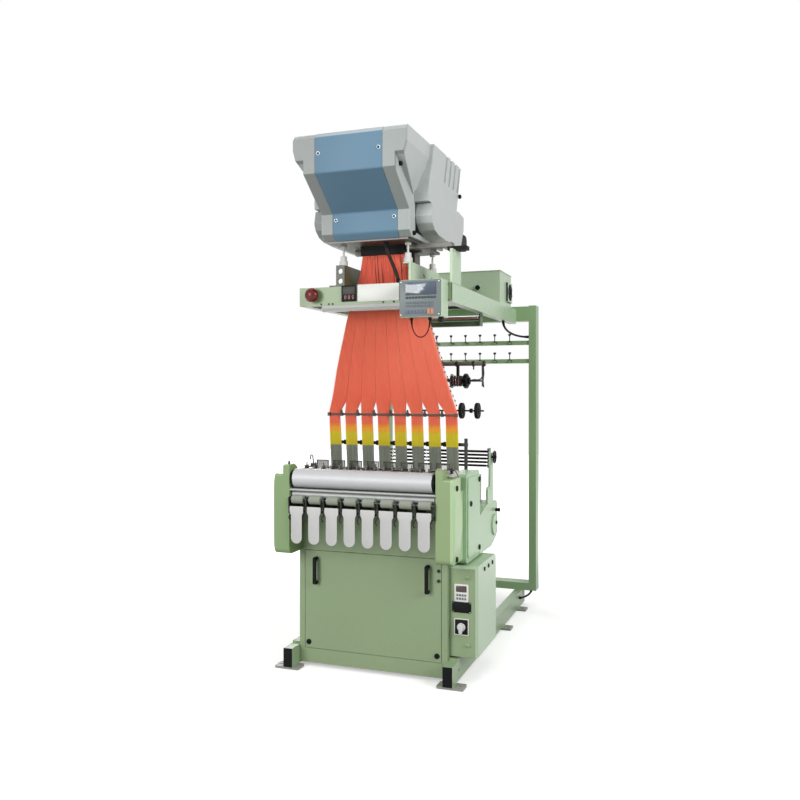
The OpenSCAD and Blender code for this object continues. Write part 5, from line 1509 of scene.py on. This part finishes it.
@dataclass
class Cabinet:
    """Electrical cabinet at the right: display, bare name plate, switch, latches and plugs."""

    side_x: float = 566
    switch_x: float = 485
    switch_z: float = 286
    door_y: float = 121.2

    def build(self) -> None:
        """Dress the CAD pieces and add what stands on the door."""
        dress(LIGHT_GREEN, "cabinet")
        dress(GREEN, "cabinet_door")
        self.display_unit()
        self.plates()
        self.latches()
        self.knob()
        plug = [(11.4, -0.4), (11.4, 3.2), (9.5, 4.6), (4, 4.8), (0, 4.8)]
        make("side_plugs", BLACK, "black_plastic",
             revolve(plug, places((self.side_x,), (273, 360, 448), (557,)), Axis.X, 28))

    def on_door(self, name: str, finish: Finish, slot: str, *shapes: Shape) -> None:
        """Make a piece that rides on the cabinet's door."""
        make(name, finish, slot, *shapes, body="cabinet_door")

    def tablet(self, x0: float, z0: float, x1: float, z1: float, proud: float, r: float) -> Shape:
        """A flat plate with round corners that stands proud of the door."""
        return plate(x0, z0, x1, z1, self.door_y - proud, self.door_y - 0.2, r, 0.6)

    def display_unit(self) -> None:
        """Speed display: pale frame, dark red window and two rows of keys."""
        x, y = self.switch_x, self.door_y
        self.on_door("speed_frame", SIGN, "white_plastic",
                     self.tablet(x - 37, 414.2, x + 37, 503.8, 6.6, 4))
        self.on_door("speed_window", WINDOW_RED, "red_plastic",
                     self.tablet(x - 28, 464, x + 28, 496, 7.6, 3))
        key = brick((-26, -8.4, 425), (-16, -6, 436), 0.9)
        self.on_door("speed_keys", KEY_GREY, "black_plastic",
                     copies(key, places(x + 14 * np.arange(4), (y,), (0, 18))))

    def plates(self) -> None:
        """Bare dark name plate with rivets, and the switch plate with its pale border."""
        x, y, z = self.switch_x, self.door_y, self.switch_z
        self.on_door("name_plate", BLACK, "black_plastic",
                     self.tablet(x - 50.4, 357.6, x + 50.4, 413.4, 3, 2),
                     self.tablet(x - 36.4, z - 40.4, x + 36.4, z + 40.4, 6.2, 3))
        w, h, t = 38, 42, 4
        strips = ((-w, -h, w, t - h), (-w, h - t, w, h), (-w, t - h, t - w, h - t),
                  (w - t, t - h, w, h - t))
        self.on_door("switch_border", SIGN, "white_plastic", *(
            brick((x + a, y - 7.2, z + b), (x + c, y - 0.2, z + d), 0.7) for a, b, c, d in strips))
        rivet = [(2.2, 0), (2, -0.8), (1, -1.4), (0, -1.5)]
        spots = places((x - 45, x + 45), (y - 2.9,), (362.5, 408.5))
        self.on_door("plate_rivets", BRIGHT, "bright_steel", revolve(rivet, spots, Axis.Y, 12))

    def latches(self) -> None:
        """Two latches of the door: a rounded block with a slotted cam in it."""
        rows = (193, 538)
        self.on_door("door_latches", GREEN, "machine_green",
                     *(self.tablet(504.4, z - 7.6, 531.6, z + 7.6, 5.8, 3) for z in rows))
        spots = places((518,), (self.door_y - 5.6,), rows)
        self.on_door("latch_cams", GREEN, "machine_green",
                     revolve([(5, 0), (5, -1.2), (4, -1.8), (0, -1.8)], spots, Axis.Y, 20),
                     copies(brick((-4.2, -3, -0.9), (4.2, -1.4, 0.9), 0.4), spots))

    def knob(self) -> None:
        """Rotary switch knob: a ribbed skirt and a tapered grip with a pointer.

        The skirt's outline is r = 21.2 + 0.8 cos 24 a.
        """
        x, z, y = self.switch_x, self.switch_z, self.door_y - 6
        a = np.linspace(0, 2 * np.pi, 96, endpoint=False)
        r = 21.2 + 0.8 * np.cos(24 * a)
        skirt = np.stack([x + r * np.cos(a), z + r * np.sin(a)], axis=1)
        grip = np.concatenate([arc((x, z + 4), 14.5, 0, 180, 12),
                               [(x - 6.5, z - 30), (x + 6.5, z - 30)]])
        make("switch_grip", WHITE, "white_plastic", prism(skirt, y - 8, y - 0.4, Axis.Y, 1.5),
             prism(grip, y - 24, y - 7.5, Axis.Y, 2.5, 3),
             revolve([(5.9, -0.6), (5.9, 8)], (x, y, z), Axis.Y, 24), body="switch_knob",
             replaces=["switch_knob"])


@dataclass
class Terminal:
    """Operator terminal: bezel, screen, rows of keys and the sockets under it."""

    x: float = 190
    y: float = 5
    z: float = 1864
    width: float = 226
    height: float = 190

    def build(self) -> None:
        """Dress the CAD box and add its face."""
        dress(LIGHT_GREEN, "terminal")
        y, top = self.y, self.z + self.height
        x0, z0, x1, z1 = self.x, self.z + 4, self.x + self.width - 8, top - 3
        make("terminal_bezel", BEZEL_GREY, "head_blue",
             plate(x0 - 0.6, z0 - 0.6, x1 + 0.6, z1 + 0.6, y - 1.2, y + 5.2, 6, 1.2))
        low, high = (x0 + 31, y - 3.2, top - 79), (x1 - 21, y - 1, top - 13)
        make("terminal_screen", Screen("terminal_screen_glass", low, high), "black_plastic",
             plate(low[0], low[2], high[0], high[2], low[1], high[1], 3, 0.8))
        self.keys(top)
        screw = [(3.4, 0), (3.2, -1.2), (2, -1.8), (0, -1.9)]
        make("terminal_screws", BRIGHT, "bright_steel",
             revolve(screw, places((x0 + 8, x1 - 8), (y - 1.1,), (z0 + 8, z1 - 8)), Axis.Y, 16))
        socket = [(9, 0.2), (9, -8), (7, -12), (3.4, -14), (3.4, 0.2)]
        make("terminal_sockets", BLACK, "black_plastic",
             revolve(socket, places((235, 335), (60,), (self.z,)), Axis.Z, 24),
             brick((388, 28, self.z - 26), (408, 70, self.z), 2))

    def keys(self, top: float) -> None:
        """Rows of raised keys, each a rounded tablet.

        Args:
            top: height of the terminal's upper edge.
        """
        rows = (("small", KEY_DARK, range(10), 16.5, 12, 96, 10),
                ("upper", KEY_GREY, range(8), 19, 14, 122, 10),
                ("middle", KEY_GREY, range(8), 19, 14, 138, 10),
                ("lower", KEY_VIOLET, range(6), 19, 14, 172, 18),
                ("orange", KEY_ORANGE, range(6, 8), 19, 14, 176, 26))
        for name, finish, numbers, pitch, w, drop, h in rows:
            x, z, y = self.x + 34, top - drop, self.y
            make(f"terminal_keys_{name}", finish, "black_plastic", *(
                plate(x + i * pitch - 0.4, z - 0.4, x + i * pitch + w + 0.4, z + h + 0.4,
                      y - 4.4, y - 0.8, 2.2, 1) for i in numbers))


@dataclass
class ControlBox:
    """Control box of the head on the arms: vent, knob and screws."""

    y: tuple[float, float] = (1255, 1585)
    top: float = 2262
    fan: Point = (432, 1505, 2145)
    blades: int = 7

    def build(self) -> None:
        """Dress the CAD box and add the fan and knob; blade angles go as a + s / 90."""
        dress(LIGHT_GREEN, "control_box")
        x, y, z = self.fan
        rings = [revolve([(r - 1.4, 0), (r - 1.4, 2.8), (r + 1.4, 2.8), (r + 1.4, 0)], self.fan,
                         Axis.X, 48) for r in (16, 27, 38, 49)]
        make("vent_guard", BLACK, "black_plastic", *rings,
             prism(rounded(y - 66, z - 66, y + 66, z + 66, 8), x - 12, x - 0.5, Axis.X, 1.5))
        s = np.linspace(18, 50, 6)
        lines = [np.stack([np.full_like(s, x), y + s * np.cos(a + s / 90),
                           z + s * np.sin(a + s / 90)], axis=1)
                 for a in 2 * np.pi * np.arange(self.blades) / self.blades]
        make("vent_blades", BLACKED, "black_steel",
             *(sweep(line, np.linspace(3, 7, 6), 6, (1, 0, 0)) for line in lines))
        knob = [(9, 0.5), (9, -4), (15.5, -8), (16, -20), (13, -24), (0, -25)]
        make("box_knob", BLACK, "black_plastic", revolve(knob, (277, self.y[0], 2156), Axis.Y, 32))
        spots = places((-380, -130, 130, 380), (self.y[0] + 30, self.y[1] - 30), (self.top + 3,))
        make("box_screws", BRIGHT, "bright_steel",
             revolve([(6.5, 0), (6.5, 2), (4, 3.6), (0, 3.8)], spots, Axis.Z, 18))


@dataclass
class Feeders:
    """The rod rack with its hand wheel, and the weft feeder with its discs on the columns."""

    rods: int = 5
    rack_y: float = 672
    rack_z: float = 1060
    wheel: Point = (518, 684, 1110)
    feeder: Point = (282, 650, 1546)
    bar_z: float = 1645
    disc_z: float = 1375

    def build(self) -> None:
        """Dress the CAD pieces and build the wheel, discs and feeder head."""
        dress(FEEDER_GREEN, "feeder_stand")
        dress(RACK_DARK, "rod_rack")
        self.rod_fittings()
        self.hand_wheel()
        self.discs()
        self.drum()
        self.bar_fittings()

    def rod_fittings(self) -> None:
        """Rubber sleeves on the five rods, with polished collars between them."""
        for name, finish, slot, profile, along in (
                ("rod_sleeves", BLACK_RUBBER, "black_rubber",
                 [(4.7, -90), (6.6, -89), (6.6, 89), (4.7, 90)], (14, 214, 388)),
                ("rod_collars", BRIGHT, "bright_steel",
                 [(4.6, 0), (7, 0.5), (7, 7.5), (4.6, 8)], (-100, 110, 298))):
            spots = [(x, self.rack_y + 4 * i, self.rack_z + 20 * i)
                     for i in range(self.rods) for x in along]
            make(name, finish, slot, revolve(profile, spots, Axis.X, 18))

    def hand_wheel(self) -> None:
        """Small hand wheel: hub, six spokes and a round rim."""
        x, y, z = self.wheel
        rim = [(30, 3), (31.5, 0.5), (34.5, 0), (37, 2.5), (37, 5.5), (34.5, 8), (31.5, 7.5),
               (30, 5)]
        hub = [(0, -23), (6, -23), (6, -6), (11, -5), (11, 9), (8, 15), (0, 15.5)]
        spokes = [[(x + 2, y + r * np.cos(a), z + r * np.sin(a)) for r in (8, 20, 32)]
                  for a in np.radians(np.arange(0, 360, 60))]
        make("rack_hand_wheel", BLACK, "black_plastic", revolve(rim, self.wheel, Axis.X, 48),
             revolve(hub, self.wheel, Axis.X, 28),
             *(sweep(spoke, [4.2, 3, 3.6], 8, (1, 0, 0)) for spoke in spokes), body="rack_wheel",
             replaces=["rack_wheel"])

    def discs(self) -> None:
        """Two rubber tyred discs with collars on their shaft."""
        y, z = self.feeder[1], self.disc_z
        half = [(20, 10), (29, 8.6), (34, 9.8), (44, 9.8), (46, 7.6)]
        tyre = [(r, -a) for r, a in half] + half[::-1]
        make("feeder_tyres", BLACK_RUBBER, "black_rubber",
             revolve(tyre, places((337, 430), (y,), (z,)), Axis.X, 48), body="feeder_discs",
             replaces=["feeder_discs"])
        shaft = [(0, 44), (4.6, 44), (5, 45), (5, 467), (4.6, 468), (0, 468)]
        collars = ((73, 85, 13), (385, 400, 13), (321, 328, 17), (346, 353, 17), (414, 421, 17),
                   (439, 446, 17))
        make("feeder_shaft", BLACKED, "black_steel", revolve(shaft, (0, y, z), Axis.X, 24),
             *(revolve([(5, x0), (r, x0), (r, x1), (5, x1)], (0, y, z), Axis.X, 28)
               for x0, x1, r in collars), body="feeder_discs")

    def drum(self) -> None:
        """Feeder head: brown drum, bright rings and pins, and an octagonal cap."""
        x, y, z = self.feeder
        drum = [(29.6, 2), (31, 4), (31, 52), (29.6, 56), (14, 57), (14, 2)]
        make("feeder_drum", OXIDE, "black_steel", revolve(drum, self.feeder, Axis.X, 40))
        make("feeder_rings", BRIGHT, "bright_steel",
             revolve([(30, 0), (34, 0.6), (34, 3.4), (30, 4)],
                     [(x + d, y, z) for d in (10, 25, 40)], Axis.X, 36))
        make("feeder_pins", BRIGHT, "bright_steel",
             revolve([(3.2, -7.5), (3.2, -3), (4.6, -2.5), (4.6, 1)],
                     [(x, y + 35 * np.cos(a), z + 35 * np.sin(a))
                      for a in np.radians(np.arange(0, 360, 30))], Axis.X, 10))
        cap = [(8, 69), (41, 69), (43, 72), (43, 89), (36, 94), (8, 95)]
        ring = [(8, 94.5), (20, 94.5), (20, 104), (8, 106)]
        make("feeder_cap", BLACK, "black_plastic", revolve(cap, self.feeder, Axis.X, 8),
             revolve(ring, self.feeder, Axis.X, 24))

    def bar_fittings(self) -> None:
        """Sleeve and clamps of the bar over the feeder, the stop wires, thread loop and fork."""
        (x, y, z), bar_z = self.feeder, self.bar_z
        sleeve = [(9.1, 106), (12, 107), (12, 458), (9.1, 459)]
        make("feeder_bar_sleeve", SAND_GREY, "black_steel",
             revolve(sleeve, (0, y, bar_z), Axis.X, 28))
        clamp = [(9.2, 0), (15.5, 0.8), (16.5, 3), (16.5, 11), (15.5, 13.2), (9.2, 14)]
        bead = [(0, -9), (8, -8), (11, -3), (11, 3), (8, 8), (0, 9)]
        make("feeder_clamps", BLACKED, "black_steel",
             revolve(clamp, places((92, 208, 300, 400, 462), (y,), (bar_z,)), Axis.X, 24),
             revolve([(4, -34), (4, -14), (6, -13), (6, -9)],
                     places((215, 407), (y,), (bar_z,)), Axis.Z, 14),
             revolve(bead, [(at, y, z + 12 * np.sin(at)) for at in (214, 234, 254)], Axis.X, 20),
             sweep([(207, y, z + 10), (235, y, z + 4), (276, y, z)], 5, 10, (0, 1, 0)),
             sweep([(463, y, bar_z - 3), (467, y, 1590), (462, y, 1548), (466, y, 1510)], 4.2, 10,
                   (0, 1, 0)))
        path = bezier((212, y - 4, 1612), (150, y - 40, 1560), (160, y - 60, 1470),
                      (196, y - 30, 1420), 20)
        make("feeder_loop", BLACKED, "black_steel", sweep(path, 1.6, 8, (0.2, 1, 0.1)))
        prong = sweep(bezier((x + 104, y, z), (x + 140, y, z + 22), (x + 160, y, z - 14),
                             (x + 180, y, z + 30), 12), 3.4, 8, (0, 1, 0))
        make("feeder_fork", DARK_STEEL, "bright_steel", copies(prong, [(0, -7, 0), (0, 7, 0)]))


@dataclass
class FreeCable:
    """One free cable: its two glands, the directions it leaves them in and its measures."""

    node: str
    start: Point
    start_way: Point
    end: Point
    end_way: Point
    reach: float
    diameter: float
    finish: Moulded
    straight: float = 6  # length that leaves each gland straight

    def route(self) -> np.ndarray:
        """Centre line: straight out of each gland, with one cubic curve between them.

        Returns:
            Its points, from start to end.
        """
        a, da, b, db = (np.asarray(p, float)
                        for p in (self.start, self.start_way, self.end, self.end_way))
        middle = bezier(a + self.straight * da, a + self.reach * da, b + self.reach * db,
                        b + self.straight * db, 22)
        return np.concatenate([[a], middle, [b]])

    def build(self) -> None:
        line, name, up = self.route(), self.node, (0.35, -0.15, 0.9)
        sheath = make(f"{name}_sheath", self.finish, "cable_black",
                      sweep(line, self.diameter / 2, 12, up), replaces=[name])
        taper = self.diameter / 2 + np.array([3.0, 3.0, 2.2, 1.2, 0.4])
        reliefs = make(f"{name}_reliefs", BLACK, "cable_black",
                       *(sweep(end, taper, 14, up) for end in (line[:5], line[:-6:-1])))


@dataclass
class Studio:
    """Pale floor, soft lamps and the camera, in metres."""

    camera_at: Point = (1.628, -4.731, 1.5)
    yaw: float = 20.0
    lens: float = 37.08
    shift: float = -0.01375
    aim: Point = (0.0, 0.0, 1.2)
    floor_half: float = 14.0

    def build(self) -> None:
        """Set up the view, the floor, the lamps and the world."""
        scene = bpy.context.scene
        scene.view_settings.view_transform = "Standard"
        data = bpy.data.cameras.new("camera")
        data.lens, data.shift_y, data.clip_end = self.lens, self.shift, 60
        camera = bpy.data.objects.new("camera", data)
        camera.location = self.camera_at
        camera.rotation_euler = (np.pi / 2, 0, np.radians(self.yaw))
        scene.collection.objects.link(camera)
        scene.camera = camera
        self.floor()
        self.lamps()
        self.world()

    def floor(self) -> None:
        """A pale floor that reads as white to the camera and still takes the loom's shadow."""
        mesh = bpy.data.meshes.new("floor")
        s, z = self.floor_half, -0.001
        mesh.from_pydata([(-s, -s, z), (s, -s, z), (s, s, z), (-s, s, z)], [], [(0, 1, 2, 3)])
        floor = bpy.data.objects.new("floor", mesh)
        bpy.context.scene.collection.objects.link(floor)
        tree = Tree("pale_floor")
        rays = tree.node("ShaderNodeLightPath")
        seen = rays.highest(tree.node("ShaderNodeLightPath", output=3))
        where = tree.place()
        away = tree.vector("LENGTH", where, output=1).ramp(1.3, 3.4)
        pale = tree.blend(tree.noise(where, 0.6), (0.78, 0.78, 0.77, 1.0), (0.82, 0.82, 0.815, 1.0))
        color = tree.blend(seen, (0.22, 0.22, 0.215, 1.0), pale)
        glow = tree.blend(away, (0.42, 0.42, 0.42, 1.0), (1.0, 1.0, 1.0, 1.0))
        glow = tree.blend(seen, (0.0, 0.0, 0.0, 1.0), glow)
        mesh.materials.append(tree.finish(Base_Color=color, Roughness=0.9, Emission_Color=glow,
                                          Emission_Strength=1.0))

    def lamps(self) -> None:
        """Four large soft lamps: key from the right, fill from the left front, top and rear."""
        for name, at, size, power in (("key", (5.5, -2.6, 3.6), 3.0, 250.0),
                                      ("fill", (-2.4, -6.6, 2.9), 3.4, 290.0),
                                      ("top", (0.3, -0.5, 6.5), 4.5, 90.0),
                                      ("rear", (-3.0, 5.5, 3.6), 3.5, 160.0)):
            data = bpy.data.lights.new(name, "AREA")
            data.shape, data.size, data.energy = "SQUARE", size, power
            lamp = bpy.data.objects.new(name, data)
            lamp.location = at
            way = Vector(self.aim) - Vector(at)
            lamp.rotation_euler = way.to_track_quat("-Z", "Y").to_euler()
            bpy.context.scene.collection.objects.link(lamp)

    def world(self) -> None:
        """White to the camera and in reflections, dim and even as light."""
        world = bpy.data.worlds.new("studio")
        world.use_nodes = True
        nodes, links = world.node_tree.nodes, world.node_tree.links
        nodes.clear()
        rays, seen, strength, back, output = (nodes.new(f"ShaderNode{kind}") for kind in (
            "LightPath", "Math", "MapRange", "Background", "OutputWorld"))
        seen.operation = "MAXIMUM"
        links.new(rays.outputs["Is Camera Ray"], seen.inputs[0])
        links.new(rays.outputs["Is Glossy Ray"], seen.inputs[1])
        strength.inputs[3].default_value, strength.inputs[4].default_value = 0.24, 1.0
        links.new(seen.outputs[0], strength.inputs[0])
        back.inputs[0].default_value = (1.0, 1.0, 1.0, 1.0)
        links.new(strength.outputs[0], back.inputs[1])
        links.new(back.outputs[0], output.inputs[0])
        bpy.context.scene.world = world


DOWN, LEFT, RIGHT = (0, 0, -1), (-1, 0, 0), (1, 0, 0)
CABLES = (
    FreeCable("arm_cable", (405, 1420, 1950), DOWN, (519, 1715, 1860), LEFT, 80, 14, SHEATH),
    FreeCable("rail_cable", (531, 1725, 112), DOWN, (470, 1615, 78), RIGHT, 30, 13, SHEATH),
    FreeCable("terminal_cable", (235, 60, 1864), DOWN, (335, 60, 1864), DOWN, 130, 6, SHEATH),
    FreeCable("neck_cable", (80, 100, 2270), DOWN, (140, 125, 2050), (0, 0, 1), 60, 19,
              BROWN_SHEATH),
)


def main() -> None:
    """Build the studio, the cables and every sub-assembly, in that order."""
    logging.basicConfig(level=logging.INFO, format="%(name)s: %(message)s")
    Studio().build()
    for cable in CABLES:
        cable.build()
    for part in (BaseFrame(), OverheadFrame(), Head(), Harness(), WeavingZone(), Body(),
                 SideHousings(), Rollers(), PressLevers(), Cabinet(), Terminal(), ControlBox(),
                 Feeders()):
        LOG.info("building %s", type(part).__name__)
        part.build()


if __name__ == "__main__":
    main()
